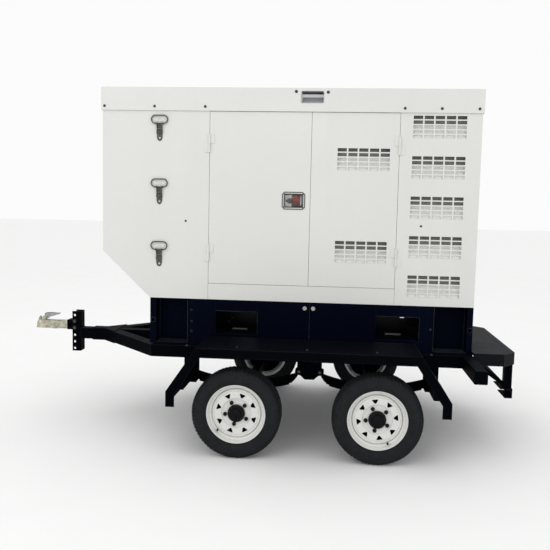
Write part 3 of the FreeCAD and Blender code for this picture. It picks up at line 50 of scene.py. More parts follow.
# ---------------------------------------------------------------- node helpers
class Shader:
    """A Principled material with short calls for the nodes around it."""

    def __init__(self, name, **values):
        self.mat = bpy.data.materials.new(name)
        self.mat.use_nodes = True
        self.tree = self.mat.node_tree
        self.tree.nodes.clear()
        self.out = self.tree.nodes.new("ShaderNodeOutputMaterial")
        self.bsdf = self.tree.nodes.new("ShaderNodeBsdfPrincipled")
        self.tree.links.new(self.bsdf.outputs[0], self.out.inputs[0])
        self.coords = self.tree.nodes.new("ShaderNodeTexCoord").outputs["Object"]
        for key, value in values.items():
            self.bsdf.inputs[key.replace("_", " ")].default_value = value

    def add(self, kind, inputs=None, **props):
        n = self.tree.nodes.new("ShaderNode" + kind)
        for key, value in props.items():
            setattr(n, key, value)
        for key, value in (inputs or {}).items():
            if isinstance(value, bpy.types.NodeSocket):
                self.tree.links.new(value, n.inputs[key])
            else:
                n.inputs[key].default_value = value
        return n

    def noise(self, scale, detail=4.0, rough=0.5, coords=None, stretch=None):
        coords = coords or self.coords
        if stretch:
            coords = self.add("Mapping", {"Vector": coords, "Scale": stretch}).outputs[0]
        n = self.add("TexNoise", {"Vector": coords, "Scale": scale, "Detail": detail, "Roughness": rough})
        return n.outputs["Fac"]

    def remap(self, value, a, b, low=0.0, high=1.0):
        ranges = {"From Min": a, "From Max": b, "To Min": low, "To Max": high}
        return self.add("MapRange", {"Value": value, **ranges}).outputs[0]

    def math(self, op, a, b=0.0):
        return self.add("Math", {0: a, 1: b}, operation=op).outputs[0]

    def mix(self, fac, a, b):
        n = self.add("Mix", data_type="RGBA")
        for socket, value in ((n.inputs[0], fac), (n.inputs[6], a), (n.inputs[7], b)):
            if isinstance(value, bpy.types.NodeSocket):
                self.tree.links.new(value, socket)
            elif socket == n.inputs[0]:
                socket.default_value = value
            else:
                socket.default_value = (*value, 1.0)
        return n.outputs[2]

    def axis(self, index, coords=None):
        return self.add("SeparateXYZ", {0: coords or self.coords}).outputs[index]

    def up_facing(self, a=0.55, b=0.95):
        normal = self.add("NewGeometry").outputs["Normal"]
        return self.remap(self.add("SeparateXYZ", {0: normal}).outputs[2], a, b)

    def edges(self, radius, a=0.03, b=0.25):
        """A mask that is 1 along convex and concave edges."""
        soft = self.add("Bevel", {"Radius": radius}, samples=4).outputs[0]
        flat = self.add("NewGeometry").outputs["Normal"]
        dot = self.add("VectorMath", {0: soft, 1: flat}, operation="DOT_PRODUCT").outputs["Value"]
        return self.remap(self.math("SUBTRACT", 1.0, dot), a * 0.1, b * 0.6)

    def set(self, **sockets):
        for key, value in sockets.items():
            self.tree.links.new(value, self.bsdf.inputs[key.replace("_", " ")])

    def relief(self, *layers, bevel=0.0):
        """Bump layers of (height, strength, depth in metres), over softened edges."""
        normal = self.add("Bevel", {"Radius": bevel}, samples=4).outputs[0] if bevel else None
        for height, strength, depth in layers:
            inputs = {"Height": height, "Strength": strength, "Distance": depth}
            if normal is not None:
                inputs["Normal"] = normal
            normal = self.add("Bump", inputs).outputs[0]
        if normal is not None:
            self.set(Normal=normal)


def scaled(colour, k):
    return tuple(min(1.0, c * k) for c in colour)


def paint(name, colour, rough, spread=0.05, peel=0.12, dust=0.0, dust_colour=(0.33, 0.31, 0.28), edge_wear_and_shading=0.0,
          edge_wear_and_shading_colour=(0.35, 0.35,
                       0.36), grime=None, bevel=0.0015, coat=0.0, waves=0.0, streaks=0.0, shine=0.5):
    """Sprayed or powder-coated steel: tone drift, orange peel, dust on top faces, edges tinted partly as rubbed
    wear and partly as painted light (a painted highlight where the edge colour is lighter than the paint,
    painted shade where it is darker), low grime.
    """
    s = Shader(name, Coat_Weight=coat, Coat_Roughness=0.12, Specular_IOR_Level=shine)
    broad = s.noise(1.6, 5.0, 0.55)
    fine = s.noise(46.0, 6.0, 0.6)
    tone = s.mix(s.remap(broad, 0.3, 0.7), scaled(colour, 1 - spread), scaled(colour, 1 + spread))
    tone = s.mix(s.remap(fine, 0.35, 0.75, 0.0, 0.3), tone, scaled(colour, 1 - spread * 1.6))
    rough_now = s.remap(fine, 0.3, 0.7, rough - 0.04, rough + 0.07)
    if streaks:
        runs = s.noise(9.0, 3.0, 0.5, stretch=(1.0, 1.0, 0.06))
        tone = s.mix(s.remap(runs, 0.55, 0.8, 0.0, streaks), tone, scaled(colour, 0.72))
    if dust:
        amount = s.math("MULTIPLY", s.up_facing(), s.remap(s.noise(7.0, 6.0, 0.65), 0.25, 0.75, dust * 0.45,
                                                           dust))
        tone = s.mix(amount, tone, dust_colour)
        rough_now = s.math("ADD", rough_now, s.math("MULTIPLY", amount, 0.35))
    if grime:
        height, strength = grime
        low = s.remap(s.axis(2), height, height * 0.25)
        amount = s.math("MULTIPLY", low, s.remap(s.noise(22.0, 7.0, 0.7), 0.42, 0.72, 0.0, strength))
        tone = s.mix(amount, tone, dust_colour)
        rough_now = s.math("ADD", rough_now, s.math("MULTIPLY", amount, 0.4))
    # Edge tint along convex and concave edges: partly rubbed wear, partly painted light. It is a painted
    # highlight where the edge colour is lighter than the paint and painted shade where it is darker.
    if edge_wear_and_shading:
        edge_wear_and_shading_mask = s.math("MULTIPLY", s.edges(0.003), s.remap(s.noise(60.0, 4.0, 0.6), 0.35, 0.65, edge_wear_and_shading * 0.25,
                                                            edge_wear_and_shading))
        tone = s.mix(edge_wear_and_shading_mask, tone, edge_wear_and_shading_colour)
    s.set(Base_Color=tone, Roughness=rough_now)
    layers = [(s.noise(520.0, 2.0, 0.4), peel, 0.0004)]
    if waves:
        layers.append((s.noise(3.2, 2.0, 0.4), waves, 0.004))
    s.relief(*layers, bevel=bevel)
    return s.mat


def bare_metal(name, colour, rough, grain=(1.0, 1.0, 1.0), blotch=0.12, stain=None, bevel=0.001,
               grain_depth=0.00012):
    """Plated, brushed or cast metal with a directional grain and blotches."""
    s = Shader(name, Metallic=1.0)
    grain_now = s.noise(260.0, 4.0, 0.6, stretch=grain)
    blots = s.noise(28.0, 5.0, 0.6)
    tone = s.mix(s.remap(blots, 0.3, 0.7), scaled(colour, 1 - blotch), scaled(colour, 1 + blotch * 0.6))
    if stain:
        tone = s.mix(s.remap(s.noise(11.0, 6.0, 0.65), 0.5, 0.75, 0.0, 0.6), tone, stain)
    s.set(Base_Color=tone, Roughness=s.remap(grain_now, 0.25, 0.75, rough - 0.07, rough + 0.12))
    s.relief((grain_now, 0.35, grain_depth), bevel=bevel)
    return s.mat


def rubber(name, colour=(0.008, 0.009, 0.0105), rough=0.66, dust=0.35, fine=420.0):
    s = Shader(name, Specular_IOR_Level=0.12)
    patches = s.noise(16.0, 6.0, 0.65)
    tone = s.mix(s.remap(patches, 0.3, 0.75), colour, scaled(colour, 1.9))
    tone = s.mix(s.remap(s.noise(70.0, 5.0, 0.7), 0.48, 0.78, 0.0, dust), tone, (0.035, 0.034, 0.032))
    s.set(Base_Color=tone, Roughness=s.remap(patches, 0.3, 0.7, rough - 0.06, rough + 0.1))
    s.relief((s.noise(fine, 3.0, 0.6), 0.3, 0.0004))
    return s.mat


def foam_lining(name):
    """Open-cell sound foam."""
    s = Shader(name, Specular_IOR_Level=0.15)
    cells = s.add("TexVoronoi", {"Vector": s.coords, "Scale": 90.0}).outputs["Distance"]
    tone = s.mix(s.remap(cells, 0.0, 0.6), (0.045, 0.045, 0.047), (0.125, 0.125, 0.13))
    s.set(Base_Color=tone, Roughness=s.remap(s.noise(60.0), 0.3, 0.7, 0.85, 1.0))
    s.relief((cells, 0.8, 0.004))
    return s.mat


CANOPY = (0.72, 0.722, 0.69)
BLACK = (0.0018, 0.0023, 0.0036)
# The edge tints below are partly rubbed wear and partly painted light: the lighter edge colours are painted edge
# highlights, and the rim's darker one is painted shade in its grooves.
M = {
    "canopy": paint("canopy_white", CANOPY, 0.36, 0.025, 0.1, dust=0.22, dust_colour=(0.52, 0.5, 0.45),
                    waves=0.1,
                    edge_wear_and_shading=0.25, edge_wear_and_shading_colour=(0.8, 0.8, 0.78), streaks=0.07, bevel=0.002),
    # A whiter paint than the canopy, used for the vent scoops and for the pocket plates that are painted light.
    "pale_white": paint("pale_white_paint", (0.84, 0.84, 0.81), 0.5, 0.03, 0.1),
    "navy": paint("base_navy", (0.0011, 0.0028, 0.009), 0.34, 0.3, 0.1, dust=0.55,
                  dust_colour=(0.042, 0.046, 0.055),
                  edge_wear_and_shading=0.35, edge_wear_and_shading_colour=(0.05, 0.055, 0.075), waves=0.1, grime=(0.7, 0.04), shine=0.012),
    "black": paint("chassis_black", BLACK, 0.42, 0.3, 0.14, dust=0.22, dust_colour=(0.008, 0.01, 0.018),
                   edge_wear_and_shading=0.55,
                   edge_wear_and_shading_colour=(0.07, 0.073, 0.08), grime=(0.45, 0.05), shine=0.004),
    "worn": paint("tongue_black", BLACK, 0.42, 0.3, 0.14, dust=0.85, dust_colour=(0.034, 0.037, 0.042),
                  edge_wear_and_shading=0.6,
                  edge_wear_and_shading_colour=(0.08, 0.083, 0.09), shine=0.004),
    "deck": paint("deck_black", (0.006, 0.0068, 0.009), 0.42, 0.2, 0.3, dust=0.8,
                  dust_colour=(0.03, 0.033, 0.04),
                  edge_wear_and_shading=0.7, edge_wear_and_shading_colour=(0.13, 0.13, 0.14), shine=0.05),
    "zinc": bare_metal("zinc_plate", (0.5, 0.48, 0.38), 0.26, blotch=0.4, stain=(0.26, 0.23, 0.15)),
    # Stainless with its colour darkened far below bare steel: painted reflection of dark surroundings on the
    # latches.
    "stainless": bare_metal("stainless", (0.11, 0.11, 0.105), 0.3, grain=(0.08, 1.0, 1.0), blotch=0.2),
    "dish": bare_metal("polished_dish", (0.42, 0.41, 0.4), 0.22, grain=(1.0, 1.0, 0.08), blotch=0.25,
                       stain=(0.2, 0.19, 0.19)),
    "copper": bare_metal("anodised_plate", (0.22, 0.09, 0.08), 0.38, blotch=0.5, stain=(0.18, 0.13, 0.07)),
    "tray": paint("tray_grey", (0.52, 0.53, 0.55), 0.45, 0.08, 0.15, dust=0.1),
    # Matt near-black for the sheets inside the fork pockets and for the brake drums: painted shade.
    "shade_black": paint("matt_shade_black", (0.0008, 0.0016, 0.004), 0.9, 0.3, 0.2, dust=0.12,
                   dust_colour=(0.008, 0.01, 0.014),
                   shine=0.01),
    "brass": bare_metal("brass", (0.6, 0.42, 0.16), 0.32, blotch=0.15),
    "copper_pipe": bare_metal("copper_pipe", (0.55, 0.25, 0.14), 0.35, blotch=0.2),
    "screen": paint("screen_dark", (0.02, 0.03, 0.032), 0.12, 0.1, 0.02, coat=0.8),
    "red": paint("signal_red", (0.4, 0.012, 0.01), 0.35, 0.06, 0.08, coat=0.3),
    "yellow": paint("signal_yellow", (0.62, 0.4, 0.02), 0.35, 0.06, 0.08, coat=0.3),
    "lamp": paint("lamp_green", (0.02, 0.22, 0.05), 0.25, 0.06, 0.03, coat=0.6),
    "battery": paint("battery_case", (0.012, 0.012, 0.013), 0.45, 0.1, 0.4, dust=0.35,
                     dust_colour=(0.09, 0.09, 0.085)),
    "bright": bare_metal("bright_zinc", (0.36, 0.36, 0.37), 0.3, blotch=0.2),
    "tyre": rubber("tyre_rubber"),
    "seal": rubber("seal_rubber", (0.014, 0.014, 0.015), 0.6, 0.1, 900.0),
    "rim": paint("rim_white", (0.71, 0.71, 0.685), 0.28, 0.03, 0.08, dust=0.0, coat=0.35, edge_wear_and_shading=0.25,
                 edge_wear_and_shading_colour=(0.45, 0.44, 0.41), bevel=0.001),
    "hub": paint("hub_black", (0.002, 0.002, 0.003), 0.13, 0.2, 0.03, bevel=0.001, edge_wear_and_shading=0.25, shine=0.12,
                 edge_wear_and_shading_colour=(0.08, 0.08, 0.09)),
    "tank": paint("tank_steel", (0.012, 0.012, 0.013), 0.42, 0.15, 0.2, dust=0.3),
    "engine": paint("engine_paint", (0.03, 0.06, 0.088), 0.42, 0.2, 0.55, dust=0.35, bevel=0.004, edge_wear_and_shading=0.3,
                    edge_wear_and_shading_colour=(0.2, 0.2, 0.2)),
    "radiator": bare_metal("radiator_black", (0.03, 0.03, 0.032), 0.5, grain=(1.0, 1.0, 0.05), blotch=0.2),
    "muffler": bare_metal("muffler_steel", (0.34, 0.31, 0.27), 0.42, blotch=0.25, stain=(0.26, 0.17, 0.1)),
    "cabinet": paint("cabinet_grey", (0.075, 0.08, 0.085), 0.42, 0.08, 0.5, dust=0.15),
    # Grey for the plates behind the upper vents: painted shade of the dim inside.
    "shade_baffle": paint("shade_baffle_grey", (0.2, 0.2, 0.195), 0.5, 0.05, 0.1),
    "foam": foam_lining("sound_foam"),
    "darkbolt": bare_metal("dark_bolt", (0.085, 0.085, 0.08), 0.42, blotch=0.2),
}

LOOKS = {
    "worn": ["tongue_tube", "a_frame_legs", "coupler_channel"],
    "black": ["side_rails", "cross_members", "chain_loops", "outrigger_tubes", "rear_posts", "rear_bumper",
              "fenders", "fender_supports", "spring_hangers",
              "equalisers", "leaf_springs", "axle_beams"],
    "deck": ["rear_deck"],
    "zinc": ["coupler_body", "coupler_bolts", "coupler_lever", "coupler_jaw"],
    "navy": ["base_frame"],
    "tank": ["fuel_tank"],
    "canopy": ["roof_cover", "nose_panel", "rear_wall", "side_panels", "door_hinges"],
    "stainless": ["toggle_bases"],
    "tray": ["lifting_bars"],
    "engine": ["engine_block", "alternator"],
    "radiator": ["radiator", "cooling_fan", "crank_pulley"],
    "muffler": ["muffler"],
    "cabinet": ["control_panel"],
}
for place in WHEELS:
    LOOKS.setdefault("tyre", []).append("tyre_" + place)
    LOOKS.setdefault("rim", []).append("rim_" + place)
    LOOKS.setdefault("hub", []).append("hub_" + place)
for side in SIDES:
    LOOKS["canopy"] += ["door_front_" + side, "door_rear_" + side]
    LOOKS["stainless"].append("latch_paddle_" + side)
    LOOKS["stainless"] += ["toggle_handle_" + level + "_" + side for level in ("low", "mid", "top")]
for look, names in LOOKS.items():
    for n in names:
        if not NODES[n].material_slots:
            NODES[n].data.materials.append(None)
        for material_slot in NODES[n].material_slots:
            material_slot.material = M[look]

# ---------------------------------------------------------------- mesh helpers
def mm(points):
    """Points given in millimetres."""
    return [tuple(c / 1000 for c in point) for point in points]


def rounded(points, radius, steps=4):
    """The outline with its corners rounded."""
    made = []
    count = len(points)
    for k in range(count):
        here = Vector(points[k])
        to_last = Vector(points[k - 1]) - here
        to_next = Vector(points[(k + 1) % count]) - here
        angle = to_last.angle(to_next)
        run = min(radius / math.tan(angle / 2), to_last.length * 0.49, to_next.length * 0.49)
        a = here + to_last.normalized() * run
        b = here + to_next.normalized() * run
        for i in range(steps + 1):
            t = i / steps
            made.append(tuple((1 - t) ** 2 * a + 2 * t * (1 - t) * here + t * t * b))
    return made


def rect(u0, u1, v0, v1):
    return [(u0, v0), (u1, v0), (u1, v1), (u0, v1)]


def on_axis(axis, u, v, t):
    """A point from two coordinates of an outline and one along the axis."""
    return {"x": (t, u, v), "y": (u, t, v), "z": (u, v, t)}[axis]


class Piece:
    """Gathers closed parts into one mesh."""

    def __init__(self):
        self.bm = bmesh.new()

    def take(self, part, bevel=0.0, steps=2, turn=None):
        if bevel:
            sharp = [e for e in part.edges if len(e.link_faces) == 2 and e.calc_face_angle(0.0) > 0.5]
            bmesh.ops.bevel(part, geom=sharp, offset=bevel, segments=steps, profile=0.5, affect="EDGES",
                            clamp_overlap=True)
        if turn is not None:
            part.transform(turn)
        bmesh.ops.recalc_face_normals(part, faces=part.faces)
        mesh = bpy.data.meshes.new("part")
        part.to_mesh(mesh)
        part.free()
        self.bm.from_mesh(mesh)
        bpy.data.meshes.remove(mesh)
        return self

    def prism(self, outline, axis, a, b, bevel=0.0, steps=2, turn=None):
        """A closed outline pushed from a to b along an axis."""
        part = bmesh.new()
        low = [part.verts.new(on_axis(axis, u, v, a)) for u, v in outline]
        high = [part.verts.new(on_axis(axis, u, v, b)) for u, v in outline]
        part.faces.new(low)
        part.faces.new(list(reversed(high)))
        for k in range(len(low)):
            j = (k + 1) % len(low)
            part.faces.new((low[k], low[j], high[j], high[k]))
        return self.take(part, bevel, steps, turn)

    def block(self, x0, x1, y0, y1, z0, z1, bevel=0.001, steps=2, turn=None):
        y0, y1 = min(y0, y1), max(y0, y1)
        return self.prism(rect(x0, x1, z0, z1), "y", y0, y1, bevel, steps, turn)

    def lathe(self, profile, at, axis="y", sign=1, steps=48, bevel=0.0):
        """A closed (radius, along) profile turned about an axis through at."""
        part = bmesh.new()
        rings = []
        for radius, along in profile:
            if radius < 1e-6:
                rings.append([part.verts.new(self.spot(at, axis, 0.0, 0.0, sign * along))])
            else:
                rings.append([part.verts.new(self.spot(at, axis, radius * math.cos(2 * math.pi * k / steps),
                                                       radius * math.sin(2 * math.pi * k / steps), sign * along))
                              for k in range(steps)])
        for i in range(len(rings)):
            one, two = rings[i], rings[(i + 1) % len(rings)]
            if len(one) == 1 and len(two) == 1:
                continue
            for k in range(steps):
                j = (k + 1) % steps
                corners = [one[k % len(one)], one[j % len(one)], two[j % len(two)], two[k % len(two)]]
                part.faces.new(list(dict.fromkeys(corners)))
        return self.take(part, bevel)

    @staticmethod
    def spot(at, axis, u, v, t):
        x, y, z = on_axis(axis, u, v, t)
        return (at[0] + x, at[1] + y, at[2] + z)

    def disc(self, at, radius, a, b, axis="y", sign=1, steps=24, edge=0.0008):
        """A round boss from a to b outboard of at, with a softened rim."""
        edge = min(edge, radius * 0.4, abs(b - a) * 0.4)
        return self.lathe([(0.0, a), (radius, a), (radius, b - edge), (radius - edge, b), (0.0, b)], at, axis,
                          sign,
                          steps)

    def hexagon(self, at, radius, a, b, axis="y", sign=1, spin=0.0, bevel=0.0008):
        u, v, t = {"x": (at[1], at[2], at[0]), "y": (at[0], at[2], at[1]), "z": (at[0], at[1], at[2])}[axis]
        outline = [(u + radius * math.cos(spin + math.pi / 3 * k),
                    v + radius * math.sin(spin + math.pi / 3 * k))
                   for k in range(6)]
        return self.prism(outline, axis, t + sign * a, t + sign * b, bevel, 1)

    def bolt(self, at, radius, axis="y", sign=1, spin=0.3):
        """Washer, hexagon head and its chamfered top."""
        self.disc(at, radius * 1.25, 0.0, radius * 0.22, axis, sign)
        return self.hexagon(at, radius, radius * 0.2, radius * 0.95, axis, sign, spin, radius * 0.12)

    def screw(self, at, radius, axis="y", sign=1):
        """A domed screw on its washer."""
        r = radius
        return self.lathe([(0.0, 0.0), (r * 1.5, 0.0), (r * 1.5, r * 0.2), (r, r * 0.25),
                           (r * 0.95, r * 0.55), (r * 0.6, r * 0.8), (r * 0.3, r * 0.85), (r * 0.28, r * 0.6),
                           (0.0, r * 0.6)], at, axis,
                          sign, 16)

    def tube(self, points, radius, steps=10, closed=False):
        """A round bar through points."""
        points = [Vector(p) for p in points]
        count = len(points)
        part = bmesh.new()
        rings = []
        side = None
        for k in range(count):
            if closed:
                along = points[(k + 1) % count] - points[k - 1]
            else:
                along = points[min(k + 1, count - 1)] - points[max(k - 1, 0)]
            along.normalize()
            if side is None:
                side = along.orthogonal().normalized()
            side = (side - along * side.dot(along)).normalized()
            other = along.cross(side)
            rings.append([part.verts.new(points[k] + (side * math.cos(2 * math.pi * i / steps)
                                                      + other * math.sin(2 * math.pi * i / steps)) * radius)
                          for i in range(steps)])
        for k in range(count if closed else count - 1):
            one, two = rings[k], rings[(k + 1) % count]
            for i in range(steps):
                j = (i + 1) % steps
                part.faces.new((one[i], one[j], two[j], two[i]))
        if not closed:
            part.faces.new(rings[0])
            part.faces.new(list(reversed(rings[-1])))
        return self.take(part)

    def mesh(self, name, look, smooth=35.0):
        mesh = bpy.data.meshes.new(name)
        for face in self.bm.faces:
            face.smooth = True
        for edge in self.bm.edges:
            if len(edge.link_faces) != 2 or edge.calc_face_angle(0.0) > math.radians(smooth):
                edge.smooth = False
        self.bm.to_mesh(mesh)
        self.bm.free()
        mesh.materials.append(M[look])
        return mesh

    def done(self, name, look, body="chassis", slot=None, replaces=(), smooth=35.0):
        return place(name, self.mesh(name, look, smooth), body, slot, replaces)


def place(name, mesh, body, slot=None, replaces=(), matrix=None):
    piece = bpy.data.objects.new(name, mesh)
    bpy.context.scene.collection.objects.link(piece)
    if matrix is not None:
        piece.matrix_world = matrix
    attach(piece, body)
    if replaces:
        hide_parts(*replaces)
    return piece


# ---------------------------------------------------------------- wheels
TREAD_PITCHES = 70
SHOULDER_Y = 0.0735


def tyre_mesh():
    """Tyre round the Y axis, outboard +Y: ribbed walls, three tread grooves and slanted shoulder blocks."""
    half = mm([(58.5, 176.5), (64, 185), (67.2, 189), (68, 190.5), (67.6, 192), (73.5, 199), (79.5, 209),
               (81.2, 212), (82.4, 213.2), (82.4, 215), (81.2, 216.5), (82, 224), (82.4, 232), (81.4, 240),
               (80.8, 241.8), (79, 242.8), (78.4, 244.5), (78.2, 247), (77.5, 251), (76.2, 255), (73.5, 261),
               (70, 266.5), (65.5, 270.5), (60, 273.5), (52, 275.2), (43, 276), (38.5, 276.3), (37.5, 275.5),
               (36.6, 270), (31.4, 270), (30.5, 275.5), (29.5, 276.5), (18, 276.8), (6, 276.95), (5, 276.5),
               (4.2, 270.5)])
    section = half + [(-y, r) for y, r in reversed(half)]
    stops = (0.0, 0.04, 0.19, 0.23, 0.42, 0.56, 0.6, 0.68, 0.72, 0.86)
    bm = bmesh.new()
    rings = []
    for pitch in range(TREAD_PITCHES):
        for stop in stops:
            ring = []
            for y, r in section:
                lean = 0.55 * y / SHOULDER_Y if abs(y) > 0.034 else 0.25 * math.sin(y * 110.0)
                angle = 2 * math.pi * (pitch + stop + lean) / TREAD_PITCHES
                depth = 0.0
                if stop in (0.04, 0.19) and abs(y) > 0.037 and r > 0.254:
                    depth = 0.0062 if r > 0.27 else 0.0034
                elif stop in (0.6, 0.68) and abs(y) < 0.0305 and r > 0.274:
                    depth = 0.003
                elif stop in (0.6, 0.68) and abs(y) > 0.057 and r > 0.264:
                    depth = 0.0022
                inward = depth * (0.5 if abs(y) > 0.066 else 0.0)
                y_now = y - math.copysign(inward, y)
                ring.append(bm.verts.new(((r - depth) * math.cos(angle), y_now,
                                          (r - depth) * math.sin(angle))))
            rings.append(ring)
    for k, one in enumerate(rings):
        two = rings[(k + 1) % len(rings)]
        for i in range(len(section)):
            j = (i + 1) % len(section)
            bm.faces.new((one[i], one[j], two[j], two[i]))
    made = Piece()
    made.take(bm)
    return made.mesh("tyre_mesh", "tyre", 28.0)


VENT_COUNT = 8
VENT_R = 0.113
NUT_R = 0.07
NUT_PHASE = 19.5
VALVE_ANGLE = 343.2


def difference(mesh, cutter):
    """The first mesh with the second cut out of it."""
    body = bpy.data.objects.new("cut_body", mesh)
    knife = bpy.data.objects.new("cut_knife", cutter)
    for one in (body, knife):
        bpy.context.scene.collection.objects.link(one)
    cut = body.modifiers.new("cut", "BOOLEAN")
    cut.operation, cut.solver, cut.object = "DIFFERENCE", "EXACT", knife
    bpy.context.view_layer.update()
    result = bpy.data.meshes.new_from_object(body.evaluated_get(bpy.context.evaluated_depsgraph_get()))
    bpy.data.objects.remove(body)
    bpy.data.objects.remove(knife)
    return result


def rim_mesh():
    """Pressed steel wheel: rolled barrel, dished disc with eight vents."""
    barrel = mm([(183, 65.5), (181.8, 67.2), (179.5, 67.2), (178, 65.5), (175.5, 60), (172.2, 56), (170, 51),
                 (169, 43), (166, 38.5), (160.5, 34.5), (156, 32), (153, 26), (152, 12), (152, -20),
                 (156, -30), (165, -40), (167, -56), (180, -62), (183, -65), (183, -62.5), (180, -59),
                 (169, -53), (167, -37), (159, -27), (155, -18), (155, 24), (158, 30), (164, 35), (169, 39),
                 (171.5, 43), (173, 52), (179, 59), (180.5, 62)])
    disc = mm([(151.8, 12), (151.8, 28), (150, 35), (147, 38.8), (144, 40), (141.8, 39), (140, 36),
               (137.5, 36), (135.5, 38.8), (131, 40.2), (115, 40), (99, 39.2), (94.5, 39.2), (92, 37.8),
               (89.5, 34.5), (87, 33), (60, 32.8), (54, 32.8), (54, 27.5), (60, 27.5), (88, 27.8), (92.5, 30),
               (96, 34), (115, 35), (132, 35), (139, 31), (144, 34.5), (146.5, 33.5), (148.5, 29), (149, 12)])
    plate = Piece()
    plate.lathe(disc, (0, 0, 0), steps=96)
    knife = Piece()
    outline = rounded(mm([(-21.5, 12.5), (-4.5, -13.5), (4.5, -13.5), (21.5, 12.5)]), 0.0045, 5)
    for k in range(VENT_COUNT):
        spin = Matrix.Rotation(-math.radians(360 / VENT_COUNT * k), 4, "Y")
        turn = spin @ Matrix.Translation((VENT_R, 0, 0)) @ Matrix.Rotation(math.radians(90), 4, "Y")
        knife.prism(outline, "y", 0.0, 0.08, turn=turn)
    made = Piece()
    made.bm.from_mesh(difference(plate.mesh("disc", "rim"), knife.mesh("vents", "rim")))
    bmesh.ops.remove_doubles(made.bm, verts=made.bm.verts, dist=1e-5)
    made.lathe(barrel, (0, 0, 0), steps=96)
    return made.mesh("rim_mesh", "rim", 40.0)


def hub_mesh():
    """Hub, flange, stepped black cap, nuts and stud ends."""
    made = Piece()
    made.lathe(mm([(20.1, -101), (40, -101), (42, -99), (42, 15), (85, 15), (86, 16), (86, 26.8), (52, 26.8),
                   (52.8, 29), (53.5, 35), (53.5, 47), (52, 49.2), (47, 50.5), (45.2, 52), (44.6, 55),
                   (43, 57), (39, 57.6), (37.4, 56), (33, 55.6), (31.6, 58), (30, 62.5), (26, 65.5),
                   (18, 67.2), (8, 67.8), (0, 68), (0, 23), (20.1, 23)]), (0, 0, 0), steps=72)
    for k in range(5):
        angle = math.radians(NUT_PHASE + 72 * k)
        at = (NUT_R * math.cos(angle), 0.0, NUT_R * math.sin(angle))
        made.disc(at, 0.0128, 0.0326, 0.035)
        made.hexagon(at, 0.011, 0.0345, 0.047, spin=angle, bevel=0.0012)
        made.disc(at, 0.0058, 0.04, 0.051, edge=0.0012)
    return made.mesh("hub_mesh", "hub", 32.0)


def drum_mesh():
    """The brake drum behind the rim's vents, in matt near-black: painted shade that keeps the vents dark."""
    made = Piece()
    made.lathe(mm([(42.2, 0.5), (133.5, 0.5), (138, -2), (139.5, -7), (139.5, -54), (142.5, -56),
                   (142.5, -64), (133, -64), (133, -6), (42.2, -6)]),
               (0, 0, 0), steps=64)
    return made.mesh("drum_mesh", "shade_black", 32.0)


def valve_mesh():
    """A snap-in tyre valve, foot to cap."""
    made = Piece()
    angle = math.radians(VALVE_ANGLE)
    out = Vector((math.cos(angle), 0.0, math.sin(angle)))
    foot = out * 0.16 + Vector((0, 0.033, 0))
    tip = out * 0.153 + Vector((0, 0.07, 0))
    steps = [foot + (tip - foot) * t for t in (0.0, 0.45, 0.5, 1.0)]
    made.tube(steps[:2], 0.0062, 14)
    made.tube(steps[1:3], 0.0052, 14)
    made.tube(steps[2:], 0.0046, 14)
    return made.mesh("valve_mesh", "seal")


def wheels():
    tyre, rim, hub, valve, drum = tyre_mesh(), rim_mesh(), hub_mesh(), valve_mesh(), drum_mesh()
    spins = {"front_left": 26.9, "rear_left": 98.0, "front_right": 61.0, "rear_right": 12.0}
    for at, (x, side) in WHEELS.items():
        face = Matrix.Rotation(math.pi, 4, "Z") if side < 0 else Matrix.Identity(4)
        turn = Matrix.Translation((x, side * WHEEL_Y, TYRE_R)) @ face
        body = "wheel_" + at
        spun = []
        for mesh in (rim, hub, valve):
            spun.append(mesh.copy())
            spun[-1].transform(Matrix.Rotation(math.radians(spins[at]), 4, "Y"))
        place("tyre_tread_" + at, tyre, body, "tyre_rubber", ["tyre_" + at], turn)
        place("steel_wheel_" + at, spun[0], body, "rim_white", ["rim_" + at], turn)
        place("hub_cap_" + at, spun[1], body, "hub_black", ["hub_" + at], turn)
        place("valve_" + at, spun[2], body, "tyre_rubber", (), turn)
        # A dark drum behind each rim's vents: painted shade.
        place("brake_drum_" + at, drum, body, "hub_black", (), turn)


wheels()


# ---------------------------------------------------------------- canopy parts
PANEL_Y = 0.487
ROOF_Y = 0.495
REAR_LOUVRES = [(1.005, z) for z in (0.977, 1.233, 1.488, 1.745, 2.001)]
DOOR_LOUVRES = [(0.528, z) for z in (1.19, 1.79)]
LOUVRE_W, LOUVRE_H = 0.335, 0.142


def shade_baffle(made, side, x, z):
    """The grey plate that hides the machine behind the upper vents of a group; its grey is painted shade,
    standing in for the dim inside seen through those vents.
    """
    y = PANEL_Y - 0.046
    made.block(x - 0.013, x + LOUVRE_W + 0.013, side * (y - 0.0012), side * y, z + 0.078, z + 0.16, 0.0004)


def louvre_hood(made, side, x, z):
    """A folded scoop behind a group of vents, open at its top, with its two cheeks."""
    y = PANEL_Y - 0.0032
    low, high = z - 0.012, z + 0.072
    depth = 0.0385
    slope = [(y, low), (y, low - 0.01), (y - 0.0012, low - 0.01), (y - 0.0012, low), (y - depth, high),
             (y - depth - 0.001, high + 0.014), (y - depth + 0.0004, high + 0.014),
             (y - depth + 0.0012, high)]
    made.prism([(side * a, b) for a, b in slope], "x", x - 0.012, x + LOUVRE_W + 0.012)
    cheek = [(y - 0.0005, low), (y - depth, high), (y - depth, high + 0.014),
             (y - 0.0005, z + LOUVRE_H + 0.01)]
    for edge in (x - 0.0135, x + LOUVRE_W + 0.012):
        made.prism([(side * a, b) for a, b in cheek], "x", edge, edge + 0.0015)


